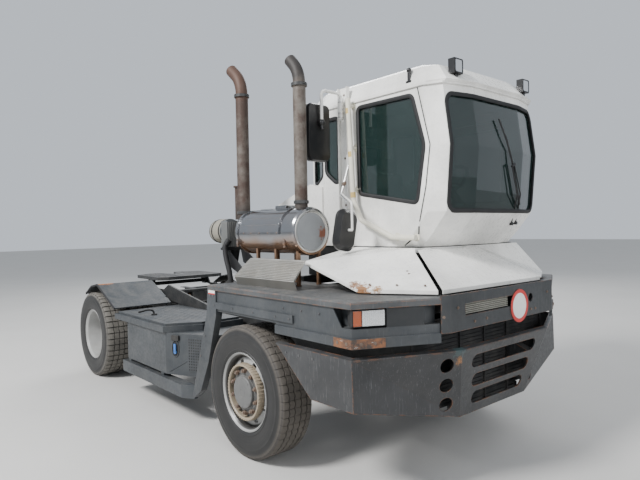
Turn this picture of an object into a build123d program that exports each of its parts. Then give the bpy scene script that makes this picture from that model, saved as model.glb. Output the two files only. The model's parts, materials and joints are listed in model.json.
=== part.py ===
from build123d import *
import os
from math import cos, hypot, radians, sin

# Terminal tractor, 4x2, exhaust on the right of the deck, cab offset to the left.
# Millimetres. +X forward, +Y left, +Z up, z = 0 is the ground.
# The origin is the middle of the outline on the ground.
# Places along the vehicle are given from the front axle (AXLE_F) or the rear axle (AXLE_R).

# Overall sizes
WHEELBASE = 3360.0
FRONT_OVERHANG = 1500.0
REAR_OVERHANG = 820.0
WIDTH = 2500.0
AXLE_F = (FRONT_OVERHANG + WHEELBASE + REAR_OVERHANG) / 2 - FRONT_OVERHANG
AXLE_R = AXLE_F - WHEELBASE
SIDE = WIDTH / 2

# Running clearances
SEAT_GAP = 0.3
PANEL_GAP = 5.0
BEYOND = 5000.0

# Wheels
TYRE_R = 505.0
TYRE_W = 296.0
RIM_R = 286.0
FLANGE_R = 298.0
TREAD_HALF = 134.0
TWIN_SPACING = 330.0
HUB_Z = TYRE_R
TYRE_OUT_Y = SIDE + 5.0
FRONT_WHEEL_Y = TYRE_OUT_Y - TYRE_W / 2
REAR_OUTER_Y = FRONT_WHEEL_Y
REAR_INNER_Y = REAR_OUTER_Y - TWIN_SPACING
KINGPIN_Y = FRONT_WHEEL_Y - 207.0
KINGPIN_R = 24.0
AXLE_BEAM_Z = HUB_Z - 60.0

# Chassis rails
RAIL_Y = 415.0
RAIL_FLANGE = 80.0
RAIL_T = 10.0
RAIL_Z0 = 650.0
RAIL_Z1 = 900.0
RAIL_FRONT = AXLE_F + 1290.0
RAIL_REAR = AXLE_R - REAR_OVERHANG

# Front deck, with the plan line that its fascia and side beams follow
DECK_Z = 1295.0
DECK_T = 12.0
DECK_LIP = 42.0
DECK_LIP_T = 10.0
DECK_BEVEL = 8.0
DECK_UNDER = DECK_Z - DECK_T - SEAT_GAP
DECK_REAR = AXLE_F - 500.0
CORNER_X = AXLE_F + 1205.0
DECK_NOSE_X = AXLE_F + 1490.0
DECK_NOSE_Y = SIDE - 595.0
DECK_PLAN = [(DECK_REAR, -SIDE), (CORNER_X, -SIDE), (DECK_NOSE_X, -DECK_NOSE_Y)]
FASCIA_T = 8.0
FASCIA_Z0 = 1070.0
FASCIA_Z1 = 1310.0
FASCIA_END_Y = DECK_NOSE_Y + 61.0
BEAM_END_Y = FASCIA_END_Y + 1.0
BEAM_INSET = 14.0
BEAM_T = 8.0
BEAM_Z0 = 1085.0
BEAM_LOW_Z0 = 1010.0
RECESS_Z0 = 1133.0
RECESS_DEPTH = 70.0
RECESS_T = 6.0

# Bumper
BUMPER_T = 12.0
BUMPER_NOSE_X = AXLE_F + FRONT_OVERHANG
BUMPER_NOSE_Y = 560.0
BUMPER_NOSE_Z0 = 459.0
BUMPER_NOSE_LEAN = 122.0
BUMPER_NOSE_TUCK = 142.0
BUMPER_SIDE_Z0 = 632.0
BUMPER_Z1 = 948.0
BUMPER_REAR_TOP = AXLE_F + 445.0
BUMPER_REAR_LOW = AXLE_F + 817.0
FLANGE_IN = 30.0
FLANGE_RISE = 12.0
SLOT_R = 45.0
WING_HOLE_R = 48.0

# Cab, offset to the left of the middle
CAB_Y0 = -290.0
CAB_Y1 = 1030.0
CAB_WALL = 38.0
CAB_FLOOR_Z = 1350.0
CAB_BASE_Z = 1590.0
CAB_EAVES_Z = 2768.0
CAB_ROOF_Z = 2985.0
CAB_REAR_X = AXLE_F - 400.0
CAB_CORNER_X = AXLE_F - 100.0
CAB_REAR_TUCK = 130.0
TUB_Z0 = CAB_FLOOR_Z - 30.0
TUB_Z1 = CAB_BASE_Z - SEAT_GAP
TUB_FRONT = AXLE_F + 940.0
PILLAR_X1 = AXLE_F + 250.0
DOOR_X1 = AXLE_F + 935.0
DOOR_LOW_X1 = AXLE_F + 815.0
DOOR_Z0 = 1375.0
DOOR_Z1 = 2685.0
REAR_DOOR_Y0 = 155.0
REAR_DOOR_Y1 = 805.0
REAR_DOOR_Z1 = 2635.0
DOOR_FRAME = 70.0
DOOR_GLASS_Z0 = 1950.0

# Fifth wheel and its lift boom, outside the rails
BOOM_PIVOT_X = AXLE_R + 1740.0
BOOM_PIVOT_Z = 800.0
BOOM_IN_Y = RAIL_Y + 7.0
BOOM_OUT_Y = BOOM_IN_Y + 25.0
BOOM_BOSS_R = 55.0
COUPLER_X = AXLE_R - 180.0
COUPLER_PIN_Z = 1040.0
COUPLER_BOSS_R = 45.0
PLATE_Z0 = 1110.0
PLATE_Z1 = 1150.0
PLATE_HALF_X = 410.0
PLATE_HALF_Y = 470.0
KINGPIN_BORE_R = 27.0
PIN_R = 25.0
CYL_BASE_X = AXLE_R + 1160.0
CYL_BASE_Z = 620.0
CYL_EYE_X = AXLE_R + 510.0
CYL_EYE_Z = 925.0
CYL_Y = 230.0
CYL_PIN_R = 15.0
CYL_EYE_BORE = 21.5
EYE_BAR_Z = 976.0

# Cab tilt axis, under the front flap
TILT_X = AXLE_F + 1432.0
TILT_Z = 1260.0
TILT_R = 18.0
TILT_BOSS_R = 28.0
TILT_ARM_Y = 200.0
TILT_ARM_T = 50.0

# Front flap hinge
FLAP_X = AXLE_F + 995.0
FLAP_Z = 1568.0

# Side boxes and steps
BOX_IN_Y = RAIL_Y + 45.0
FENDER_IN_Y = BOX_IN_Y + 100.0
STEP_IN_Y = SIDE - 350.0

# Muffler
MUFFLER_Y = -750.0
MUFFLER_Z = 1722.0
MUFFLER_R = 180.0
BAND_R = 188.0
SHIELD_R = 192.0

parts = {}


def box(x0, x1, y0, y1, z0, z1):
    """A block between two corners, given in either order."""
    return Pos((x0 + x1) / 2, (y0 + y1) / 2, (z0 + z1) / 2) * Box(
        abs(x1 - x0), abs(y1 - y0), abs(z1 - z0))


def prism_y(points, y0, y1):
    """An outline in X and Z, carried from y0 to y1."""
    face = Plane.XZ * make_face(Polyline(*points, close=True))
    return Pos(0, y0, 0) * extrude(face, amount=-(y1 - y0))


def prism_x(points, x0, x1):
    """An outline in Y and Z, carried from x0 to x1."""
    face = Plane.YZ * make_face(Polyline(*points, close=True))
    return Pos(x0, 0, 0) * extrude(face, amount=x1 - x0)


def prism_z(points, z0, z1):
    """An outline in X and Y, carried from z0 to z1."""
    face = make_face(Polyline(*points, close=True))
    return Pos(0, 0, z0) * extrude(face, amount=z1 - z0)


def rod(start, end, radius, bore=0.0):
    """A round bar or tube between two points."""
    axis = Vector(*end) - Vector(*start)
    plane = Plane(origin=start, z_dir=axis)
    solid = extrude(plane * Circle(radius), amount=axis.length)
    if bore:
        solid -= extrude(plane * Circle(bore), amount=axis.length)
    return solid


def tube(points, bend, radius):
    """A round bar along a path whose corners are bent to a radius."""
    path = FilletPolyline(*points, radius=bend)
    return sweep(Plane(origin=path @ 0, z_dir=path % 0) * Circle(radius), path=path)


def turned(profile, x, y, z, side=1):
    """A body turned about an axle along Y, from (radius, distance outward) points."""
    face = make_face(Polyline(*[(radius, side * out) for radius, out in profile], close=True))
    return Pos(x, y, z) * revolve(face, Axis.Y)


def spun(profile, x, y, z):
    """A body turned about an axis along X, from (distance along X, radius) points."""
    return Pos(x, y, z) * revolve(make_face(Polyline(*profile, close=True)), Axis.X)


def slab(outer, inner):
    """A solid between an outer polygon and its inner copy, both in space."""
    count = len(outer)
    faces = []
    for ring in (outer, inner):
        faces += [Face(Wire.make_polygon([ring[0], ring[i], ring[i + 1]]))
                  for i in range(1, count - 1)]
    for i in range(count):
        j = (i + 1) % count
        faces += [Face(Wire.make_polygon([outer[i], outer[j], inner[j]])),
                  Face(Wire.make_polygon([outer[i], inner[j], inner[i]]))]
    return Solid(Shell(faces))


def panel(outline, thickness):
    """A plate under a polygon in space, cut straight down."""
    return slab(outline, [(x, y, z - thickness) for x, y, z in outline])


def offset_path(path, distance, closed=False):
    """A path of plane points moved to its left by a distance, with mitred corners."""
    count = len(path)
    legs = count if closed else count - 1
    normals = []
    for i in range(legs):
        ahead = path[(i + 1) % count]
        du, dv = ahead[0] - path[i][0], ahead[1] - path[i][1]
        normals.append((-dv / hypot(du, dv), du / hypot(du, dv)))
    moved = []
    for i, (u, v) in enumerate(path):
        before = normals[i - 1] if closed or i > 0 else normals[0]
        after = normals[i] if i < legs else normals[-1]
        reach = distance / (1 + before[0] * after[0] + before[1] * after[1])
        moved.append((u + reach * (before[0] + after[0]), v + reach * (before[1] + after[1])))
    return moved


def wall(path, thickness, z0, z1):
    """An upright plate along a plan path, its thickness to the left of the path."""
    return prism_z(path + offset_path(path, thickness)[::-1], z0, z1)


def both(shape):
    """A shape of the right side with its mirror image on the left."""
    return shape + mirror(shape, about=Plane.XZ)


def on_wing(half_width):
    """The point of the deck's slanted corner edge at a distance right of the middle."""
    share = (SIDE - half_width) / (SIDE - DECK_NOSE_Y)
    return (CORNER_X + share * (DECK_NOSE_X - CORNER_X), -half_width)


def whole_plan(inset):
    """The deck's outline in plan, drawn in by an inset."""
    half = offset_path(DECK_PLAN + [(DECK_NOSE_X, 0)], inset)[:-1]
    return half + [(x, -y) for x, y in reversed(half)]


CROSSMEMBERS = [
    # (middle in X, underside, top)
    (RAIL_FRONT - 60, 710, 810), (AXLE_F - 1150, 790, 890), (CYL_BASE_X + 120, 690, 790),
    (AXLE_R + 360, 710, 810), (RAIL_REAR + 40, 710, 810),
]
SIDE_ARMS = [
    # (rear edge in X, along X, outer end, underside, top) of the arms that carry the side pieces
    (CYL_BASE_X + 50, 60, BOX_IN_Y - SEAT_GAP, 680, 770),
    (AXLE_F - 1450, 60, BOX_IN_Y - SEAT_GAP, 680, 770),
    (AXLE_R + 560, 50, FENDER_IN_Y - SEAT_GAP, 780, 850),
    (AXLE_R - 180, 50, FENDER_IN_Y - SEAT_GAP, 780, 850),
]
STEP_ARMS = [AXLE_F - 1210, AXLE_F - 840]


def chassis():
    web = RAIL_Y - RAIL_T
    rail = box(RAIL_REAR, RAIL_FRONT, -(RAIL_Y - RAIL_FLANGE), -RAIL_Y, RAIL_Z0, RAIL_Z1)
    rail -= box(RAIL_REAR - 1, RAIL_FRONT + 1, 0, -web, RAIL_Z0 + RAIL_T, RAIL_Z1 - RAIL_T)
    for x, length, end, z0, z1 in SIDE_ARMS:
        rail += box(x, x + length, -RAIL_Y, -end, z0, z1)
    # Lugs that hold the lift cylinders at their feet
    lug = [(CYL_BASE_X - 38, CYL_BASE_Z - 38), (CYL_BASE_X + 80, CYL_BASE_Z - 30),
           (CYL_BASE_X + 110, CYL_BASE_Z + 150), (CYL_BASE_X + 85, CYL_BASE_Z + 150),
           (CYL_BASE_X - 38, CYL_BASE_Z + 38)]
    for offset in (-40, 40):
        rail += prism_y(lug, -CYL_Y + offset - 10, -CYL_Y + offset + 10)
    rail += rod((CYL_BASE_X, -CYL_Y - 50, CYL_BASE_Z), (CYL_BASE_X, -CYL_Y + 50, CYL_BASE_Z), CYL_PIN_R)
    frame = both(rail)
    for x, z0, z1 in CROSSMEMBERS:
        frame += box(x - 40, x + 40, -web, web, z0, z1)
    shaft_end = BOOM_OUT_Y + 13
    frame += rod((BOOM_PIVOT_X, -shaft_end, BOOM_PIVOT_Z), (BOOM_PIVOT_X, shaft_end, BOOM_PIVOT_Z), PIN_R)
    for x in STEP_ARMS:
        frame += box(x, x + 50, RAIL_Y, STEP_IN_Y - SEAT_GAP, 800, 860)
    parts["chassis_frame"] = frame


FRONT_CARRIER_X = AXLE_F + 1110.0
CARRIER_W = 60.0
DECK_CARRIERS = [
    # (rear edge in X, half width, underside, top)
    (AXLE_F - 480, SIDE - 90 - SEAT_GAP, 1233, DECK_UNDER),
    (AXLE_F + 560, SIDE - BEAM_INSET - BEAM_T - SEAT_GAP, 1233, DECK_UNDER),
    (FRONT_CARRIER_X, SIDE - 140, 1130, 1190),
]


def deck_carriers():
    # Uprights on the rails with the cross beams that carry the deck
    beams = Part()
    for x, reach, z0, z1 in DECK_CARRIERS:
        beams += box(x, x + CARRIER_W, -reach, reach, z0, z1)
        beams += both(box(x, x + CARRIER_W, -RAIL_Y + 70, -RAIL_Y, RAIL_Z1 + SEAT_GAP, z1))
    beams += both(box(FRONT_CARRIER_X, FRONT_CARRIER_X + CARRIER_W, -930, -990, 1140, DECK_UNDER))
    # Cheeks and tube of the cab's tilt axis
    cheek = [(FRONT_CARRIER_X, 1130), (FRONT_CARRIER_X + CARRIER_W, 1130), (TILT_X + 24, TILT_Z - 35),
             (TILT_X + 24, TILT_Z + 20), (FRONT_CARRIER_X, TILT_Z + 20)]
    beams += both(prism_y(cheek, -415, -385))
    beams += rod((TILT_X, -400, TILT_Z), (TILT_X, 400, TILT_Z), TILT_R)
    # Rear rest of the cab
    x0, x1 = CAB_REAR_X + 75, CAB_REAR_X + 140
    beams += box(x0, x1, -RAIL_Y, RAIL_Y, TUB_Z0 - 80, TUB_Z0 - SEAT_GAP)
    beams += both(box(x0, x1, -RAIL_Y + 70, -RAIL_Y, RAIL_Z1 + SEAT_GAP, TUB_Z0 - 80))
    beams += both(box(DECK_CARRIERS[0][0], x1, -RAIL_Y + 50, -RAIL_Y + 20, 1180, 1220))
    parts["deck_carriers"] = beams


def bumper_corner(name, inset):
    """A corner of the right half of the bumper, on its outer face or drawn in by an inset."""
    lean = inset * 0.43
    tuck = inset * 0.64
    return {
        "rear_top": (BUMPER_REAR_TOP, -SIDE + inset, BUMPER_Z1),
        "rear_low": (BUMPER_REAR_LOW, -SIDE + inset, BUMPER_SIDE_Z0),
        "side_top": (CORNER_X - tuck, -SIDE + inset, BUMPER_Z1),
        "side_low": (CORNER_X + 8 - tuck, -SIDE + inset, BUMPER_SIDE_Z0),
        "nose_top": (BUMPER_NOSE_X - inset, -BUMPER_NOSE_Y + lean * 0.5, BUMPER_Z1),
        "nose_low": (BUMPER_NOSE_X - BUMPER_NOSE_LEAN - inset,
                     -BUMPER_NOSE_Y + BUMPER_NOSE_TUCK + lean * 0.5, BUMPER_NOSE_Z0),
    }[name]


SLOTS = [
    # (middle height, half length) of the long slots through the nose
    (846, 410), (706, 365), (574, 325),
]
WING_HOLES = [
    # (X from the front axle, Y, height)
    (1449, -634, 851), (1412, -596, 710), (1375, -556, 569),
]


def bumper():
    def plate(*names):
        return slab([bumper_corner(name, 0) for name in names],
                    [bumper_corner(name, BUMPER_T) for name in names])

    cheek = plate("rear_top", "side_top", "side_low", "rear_low")
    wing = plate("side_top", "nose_top", "nose_low", "side_low")
    for x, y, z in WING_HOLES:
        wing -= rod((AXLE_F + x - 60, y + 26, z), (AXLE_F + x + 60, y - 26, z), WING_HOLE_R)
    # Bevelled flange round the top
    edge = ("rear_top", "side_top", "nose_top")
    outer = [bumper_corner(name, 0) for name in edge]
    inner = [(x, y, z + FLANGE_RISE) for x, y, z in [bumper_corner(name, FLANGE_IN) for name in edge]]
    flange = Part()
    for i in (0, 1):
        flange += panel([outer[i], outer[i + 1], inner[i + 1], inner[i]], 9)
    half = Part() + [cheek, wing, flange]
    top, low = bumper_corner("nose_top", 0), bumper_corner("nose_low", 0)
    top_in, low_in = bumper_corner("nose_top", BUMPER_T), bumper_corner("nose_low", BUMPER_T)

    def across(point):
        x, y, z = point
        return (x, -y, z)

    nose = slab([across(top), top, low, across(low)], [across(top_in), top_in, low_in, across(low_in)])
    for z, reach in SLOTS:
        nose -= box(BUMPER_NOSE_X - 220, BUMPER_NOSE_X + 20, -reach + SLOT_R, reach - SLOT_R,
                    z - SLOT_R, z + SLOT_R)
        for y in (-reach + SLOT_R, reach - SLOT_R):
            nose -= rod((BUMPER_NOSE_X - 220, y, z), (BUMPER_NOSE_X + 20, y, z), SLOT_R)
    rise = panel([across(outer[2]), outer[2], inner[2], across(inner[2])], 9)
    # Brackets from the rails to the nose, between its slots
    lean = BUMPER_NOSE_LEAN / (BUMPER_Z1 - BUMPER_NOSE_Z0)
    back = [(BUMPER_NOSE_X - (BUMPER_Z1 - z) * lean - BUMPER_T / 2, z) for z in (757, 796)]
    bracket = prism_y([(RAIL_FRONT + SEAT_GAP, 700), back[0], back[1], (RAIL_FRONT + SEAT_GAP, 870)],
                      -RAIL_Y, -RAIL_Y + RAIL_FLANGE)
    parts["front_bumper"] = both(half + bracket) + nose + rise


NOSE_PATH = [on_wing(FASCIA_END_Y), (DECK_NOSE_X, -DECK_NOSE_Y), (DECK_NOSE_X, DECK_NOSE_Y),
             (on_wing(FASCIA_END_Y)[0], FASCIA_END_Y)]


def fascia():
    # Nose plate with its long mesh slot, one round hole and the round sign's disc
    shell = wall(NOSE_PATH, FASCIA_T, FASCIA_Z0, FASCIA_Z1)
    shell -= box(DECK_NOSE_X - 60, DECK_NOSE_X + 20, -500, 200, 1165, 1240)
    shell -= rod((DECK_NOSE_X - 60, 328, 1202), (DECK_NOSE_X + 20, 328, 1202), 32)
    shell += rod((DECK_NOSE_X, 162, 1158), (DECK_NOSE_X + 4, 162, 1158), 120)
    parts["front_fascia"] = shell


def deck():
    plate = prism_z(whole_plan(0), DECK_Z - DECK_T, DECK_Z - DECK_BEVEL)
    top = make_face(Polyline(*whole_plan(0), close=True))
    plate += Pos(0, 0, DECK_Z - DECK_BEVEL) * extrude(top, amount=DECK_BEVEL, taper=45)
    lip = prism_z(whole_plan(0), DECK_Z - DECK_LIP, DECK_Z - DECK_T)
    lip -= prism_z(whole_plan(DECK_LIP_T), DECK_Z - DECK_LIP - 1, DECK_Z - DECK_T + 1)
    plate += lip
    # Room for the nose plate, for the cab's tub and for the arms of the tilt axis
    nose_end = on_wing(FASCIA_END_Y + 0.5)
    nose = [nose_end] + NOSE_PATH[1:3] + [(nose_end[0], -nose_end[1])]
    nose_out = offset_path(nose, -30)
    plate -= wall(nose_out, 30 + FASCIA_T + SEAT_GAP, 0, DECK_Z + 1)
    plate -= box(AXLE_F - 330, AXLE_F + 1330, -560, 900, 0, DECK_Z + 1)
    arm = TILT_ARM_T / 2 + 8
    plate -= both(box(AXLE_F + 1320, TILT_X + 36, -TILT_ARM_Y - arm, -TILT_ARM_Y + arm, 0, DECK_Z + 1))
    parts["deck_plate"] = plate


POST_OUTLINE = [
    # (X from the front axle, height) of the slanted post behind the front wheel
    (-500, 1250), (-526, 1043), (-800, 303), (-768, 296), (-652, 377), (-512, 643), (-371, 1052),
    (-371, 1250),
]
POST_DEPTH = 58.0


def side_beams():
    inner = offset_path(DECK_PLAN, BEAM_INSET)
    face_y = -SIDE + BEAM_INSET
    wing_end = offset_path([on_wing(SIDE), on_wing(BEAM_END_Y)], BEAM_INSET)[1]
    beam = prism_y([(DECK_REAR, BEAM_Z0), (AXLE_F + 435, BEAM_Z0), (AXLE_F + 435, BEAM_LOW_Z0),
                    (AXLE_F + 1108, BEAM_LOW_Z0), (AXLE_F + 1108, RECESS_Z0), (AXLE_F + 1030, 1250),
                    (AXLE_F + 1030, DECK_UNDER), (DECK_REAR, DECK_UNDER)], face_y, face_y + BEAM_T)
    low = [(AXLE_F + 1107, face_y), inner[1], wing_end]
    beam += wall(low, BEAM_T, BEAM_LOW_Z0, RECESS_Z0)
    # Lamp recess: floor, end, back and the blank plate beside the lamp
    recess = [(AXLE_F + 1036, face_y), inner[1], wing_end]
    beam += wall(recess, RECESS_DEPTH + RECESS_T, RECESS_Z0 - RECESS_T, RECESS_Z0)
    beam += wall(offset_path(recess, RECESS_DEPTH), RECESS_T, RECESS_Z0, DECK_UNDER)
    beam += box(AXLE_F + 1030, AXLE_F + 1036, face_y, face_y + RECESS_DEPTH + RECESS_T,
                RECESS_Z0 - RECESS_T, DECK_UNDER)
    blank = offset_path([on_wing(1040), on_wing(815)], BEAM_INSET)
    beam += wall(blank, RECESS_T, RECESS_Z0, 1250)
    # Strips along the outside
    beam += box(AXLE_F - 440, AXLE_F + 638, -SIDE, face_y, 1105, 1160)
    beam += wall([(AXLE_F + 435, -SIDE), (CORNER_X, -SIDE), on_wing(BEAM_END_Y)], BEAM_INSET, 1015, 1075)
    # Slanted post, a channel open to the inside
    post = [(AXLE_F + x, z) for x, z in POST_OUTLINE]
    beam += prism_y(post, -SIDE, -SIDE + POST_DEPTH)
    hollow = offset_path(post, 10, closed=True)
    beam -= prism_y(hollow, face_y + BEAM_T, -SIDE + POST_DEPTH + 1)
    parts["side_beam_right"] = beam
    parts["side_beam_left"] = mirror(beam, about=Plane.XZ)


def axles():
    half = box(AXLE_F - 45, AXLE_F + 45, 0, -KINGPIN_Y + 70, AXLE_BEAM_Z - 60, AXLE_BEAM_Z + 60)
    half += box(AXLE_F - 45, AXLE_F + 45, -KINGPIN_Y + 100, -KINGPIN_Y + 60, AXLE_BEAM_Z - 60, HUB_Z + 45)
    half += Pos(AXLE_F, -KINGPIN_Y, HUB_Z) * Cylinder(55, 90)
    half += box(AXLE_F - 40, AXLE_F + 40, -KINGPIN_Y + 100, -KINGPIN_Y + 30, HUB_Z - 45, HUB_Z + 45)
    half -= Pos(AXLE_F, -KINGPIN_Y, HUB_Z) * Cylinder(KINGPIN_R + 0.3, 400)
    parts["front_axle_beam"] = both(half)
    # Front springs, with their hangers under the rails
    y, low = -RAIL_Y + 40, AXLE_BEAM_Z + 60
    spring = box(AXLE_F - 600, AXLE_F + 600, y - 38, y + 38, low, low + 70)
    spring += box(AXLE_F - 90, AXLE_F + 90, y - 45, y + 45, low, low + 95)
    for x in (AXLE_F - 600, AXLE_F + 560):
        spring += box(x, x + 40, y - 38, y + 38, low, RAIL_Z0)
    parts["front_springs"] = both(spring)
    # Rear axle: housing, differential, and its saddles under the rails
    housing = rod((AXLE_R, -(REAR_INNER_Y - 130), HUB_Z), (AXLE_R, REAR_INNER_Y - 130, HUB_Z), 75)
    housing += Pos(AXLE_R, 0, HUB_Z) * Sphere(190)
    housing += rod((AXLE_R + 150, 0, HUB_Z), (AXLE_R + 300, 0, HUB_Z), 70)
    saddle = box(AXLE_R - 90, AXLE_R + 90, y - 40, y + 40, HUB_Z + 20, RAIL_Z0)
    saddle += rod((AXLE_R, -(REAR_INNER_Y - 132), HUB_Z), (AXLE_R, -(REAR_OUTER_Y - 11), HUB_Z), 60)
    parts["rear_axle"] = housing + both(saddle)


def knuckles():
    y = -KINGPIN_Y
    fork = Pos(AXLE_F, y, HUB_Z) * Cylinder(KINGPIN_R, 190)
    for z in (HUB_Z + 70, HUB_Z - 70):
        fork += Pos(AXLE_F, y, z) * Cylinder(50, 46)
        fork += box(AXLE_F - 45, AXLE_F + 45, y, y - 100, z - 23, z + 23)
    fork += box(AXLE_F - 60, AXLE_F + 60, y - 62, y - 100, HUB_Z - 93, HUB_Z + 93)
    fork += rod((AXLE_F, y - 90, HUB_Z), (AXLE_F, -(FRONT_WHEEL_Y + 90), HUB_Z), 38)
    # Steering arm, to the rear
    fork += box(AXLE_F - 230, AXLE_F - 30, y, y - 40, HUB_Z - 93, HUB_Z - 69)
    parts["knuckle_right"] = fork
    parts["knuckle_left"] = mirror(fork, about=Plane.XZ)


def tie_rod():
    y, x, z = KINGPIN_Y + 20, AXLE_F - 205, HUB_Z - 116
    end = Pos(x, -y, z) * Cylinder(20, 46 - 2 * SEAT_GAP)
    parts["tie_rod"] = both(end) + rod((x, -y, z), (x, y, z), 16)


TYRE_PROFILE = [
    # (radius, distance outward from the middle of the tyre)
    (RIM_R + 6, -115), (FLANGE_R + 2, -115), (FLANGE_R + 2, -132), (390, -TYRE_W / 2), (450, -143),
    (492, -TREAD_HALF), (TYRE_R, -118), (TYRE_R, 118), (492, TREAD_HALF), (450, 143),
    (390, TYRE_W / 2), (FLANGE_R + 2, 132), (FLANGE_R + 2, 115), (RIM_R + 6, 115),
]
FRONT_RIM = [
    # (radius, distance outward)
    (RIM_R - 14, -112), (RIM_R + 5, -112), (RIM_R + 5, 116), (FLANGE_R, 118), (FLANGE_R, 126),
    (FLANGE_R - 6, 132), (RIM_R - 12, 112), (RIM_R - 14, 70), (190, 96), (150, 118), (60, 118), (60, 100),
    (150, 100), (190, 78), (RIM_R - 30, 50), (RIM_R - 14, 30),
]
FRONT_HUB = [(38.5, -70), (110, -70), (120, 60), (150, 101), (150, 117), (100, 118), (100, 138), (80, 145),
             (0, 145), (0, 95), (38.5, 95)]
TWIN_MID = -TWIN_SPACING / 2
REAR_RIM = [
    (RIM_R - 14, -112), (RIM_R + 5, -112), (RIM_R + 5, 116), (FLANGE_R, 118), (FLANGE_R, 126),
    (FLANGE_R - 6, 132), (RIM_R - 16, 108), (RIM_R - 34, -40), (230, -130), (150, TWIN_MID + 15),
    (100, TWIN_MID + 15), (100, TWIN_MID - 1), (150, TWIN_MID - 1), (240, TWIN_MID + 18), (RIM_R - 26, -110),
]
REAR_HUB = [(61, 2 * TWIN_MID), (200, 2 * TWIN_MID), (200, 2 * TWIN_MID + 130), (165, TWIN_MID - 30),
            (165, TWIN_MID - 14), (110, TWIN_MID - 14), (110, -60), (90, -20), (60, 0), (0, 0), (0, -10),
            (61, -10)]
HAND_HOLES = 8
HAND_HOLE_R = 26.0
HAND_HOLE_CIRCLE = 222.0


def wheels():
    for side, name in ((-1, "right"), (1, "left")):
        y = side * FRONT_WHEEL_Y
        parts["front_tyre_" + name] = turned(TYRE_PROFILE, AXLE_F, y, HUB_Z, side)
        rim = turned(FRONT_RIM, AXLE_F, y, HUB_Z, side)
        for k in range(HAND_HOLES):
            angle = radians(360 / HAND_HOLES * (k + 0.5))
            x, z = AXLE_F + HAND_HOLE_CIRCLE * cos(angle), HUB_Z + HAND_HOLE_CIRCLE * sin(angle)
            rim -= rod((x, y - side * 20, z), (x, y + side * 150, z), HAND_HOLE_R)
        parts["front_wheel_" + name] = rim + turned(FRONT_HUB, AXLE_F, y, HUB_Z, side)
        tyres = turned(TYRE_PROFILE, AXLE_R, side * REAR_OUTER_Y, HUB_Z, side)
        tyres += turned(TYRE_PROFILE, AXLE_R, side * REAR_INNER_Y, HUB_Z, side)
        parts["rear_tyres_" + name] = tyres
        twin = turned(REAR_RIM, AXLE_R, side * REAR_OUTER_Y, HUB_Z, side)
        twin += turned([(r, -out) for r, out in REAR_RIM], AXLE_R, side * REAR_INNER_Y, HUB_Z, side)
        parts["rear_wheels_" + name] = twin + turned(REAR_HUB, AXLE_R, side * REAR_OUTER_Y, HUB_Z, side)


def powertrain():
    engine = box(AXLE_F - 250, AXLE_F + 800, -330, 330, 620, 1230)
    engine += box(AXLE_F - 900, AXLE_F - 250, -200, 200, 640, 1000)
    # Feet that reach into the rails
    foot_y = RAIL_Y - RAIL_T - SEAT_GAP
    for x in (AXLE_F - 200, AXLE_F + 560):
        engine += box(x, x + 80, -foot_y, foot_y, 720, 790)
    parts["engine_block"] = engine
    parts["prop_shaft"] = rod((AXLE_F - 904.7, 0, 720), (AXLE_R + 304.7, 0, HUB_Z + 8), 45)


PLATFORM_REAR = AXLE_R + 755.0
PLATFORM_FRONT = AXLE_F - 1200.0
CHAMFER_X = AXLE_F - 1371.0
STEP_TREADS = [
    # (height, outer edge)
    (400, SIDE - 20), (700, SIDE - 35), (1000, SIDE - 50),
]


def boxes():
    # Right platform: rim and raised lid, the chamfered box under it, and the step bar
    rim = [(PLATFORM_REAR, -SIDE), (CHAMFER_X, -SIDE), (PLATFORM_FRONT, -920), (PLATFORM_FRONT, -BOX_IN_Y),
           (PLATFORM_REAR, -BOX_IN_Y)]
    lid = offset_path(rim, 32, closed=True)
    parts["right_platform"] = prism_z(rim, 780, 838) + prism_z(lid, 838, 860)
    box_rear = PLATFORM_REAR + 300
    body = prism_z([(box_rear, -SIDE + 25), (CHAMFER_X, -SIDE + 25), (AXLE_F - 870, -SIDE + 260),
                    (AXLE_F - 870, -BOX_IN_Y), (box_rear, -BOX_IN_Y)], 385, 780 - SEAT_GAP)
    bar_rear = PLATFORM_REAR + 212
    bar = prism_z([(bar_rear, -SIDE), (AXLE_F - 1020, -SIDE), (AXLE_F - 900, -SIDE + 70),
                   (AXLE_F - 900, -SIDE + 100), (bar_rear, -SIDE + 90)], 237, 355)
    for x in (box_rear + 5, AXLE_F - 1500):
        bar += box(x, x + 60, -SIDE + 30, -SIDE + 90, 350, 390)
    parts["right_step_box"] = body + bar
    # Left: fuel tank and the entry steps to the rear door
    out = SIDE - 30
    parts["fuel_tank"] = prism_x([(BOX_IN_Y, 460), (BOX_IN_Y + 40, 420), (out - 90, 420), (out, 510),
                                  (out, 830), (out - 70, 900), (BOX_IN_Y, 900)], AXLE_R + 1110, AXLE_F - 1350)
    steps = Part()
    for z, depth in STEP_TREADS:
        steps += box(AXLE_F - 1180, AXLE_F - 820, STEP_IN_Y, depth, z, z + 40)
    for x in (AXLE_F - 1200, AXLE_F - 820):
        steps += prism_y([(x, 380), (x + 20, 380), (x + 20, 1295), (x, 1295)], STEP_IN_Y, SIDE - 20)
    parts["left_steps"] = steps


FENDER_LINE = [
    # (distance ahead of the rear axle, height) along the top, front to rear
    (735, 892), (190, 1126), (-14, 1094), (-220, 990),
]
FENDER_POSTS = [
    # (rear edge ahead of the rear axle, top)
    (560, 955), (-180, 1004),
]


def fenders():
    under = [(x - 4, z - 12) for x, z in reversed(FENDER_LINE)]
    wing = prism_y([(AXLE_R + x, z) for x, z in FENDER_LINE + under], -SIDE, -FENDER_IN_Y)
    for x, top in FENDER_POSTS:
        wing += box(AXLE_R + x, AXLE_R + x + 50, -FENDER_IN_Y, -FENDER_IN_Y - 12, 780, top)
    parts["rear_fenders"] = both(wing)


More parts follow.
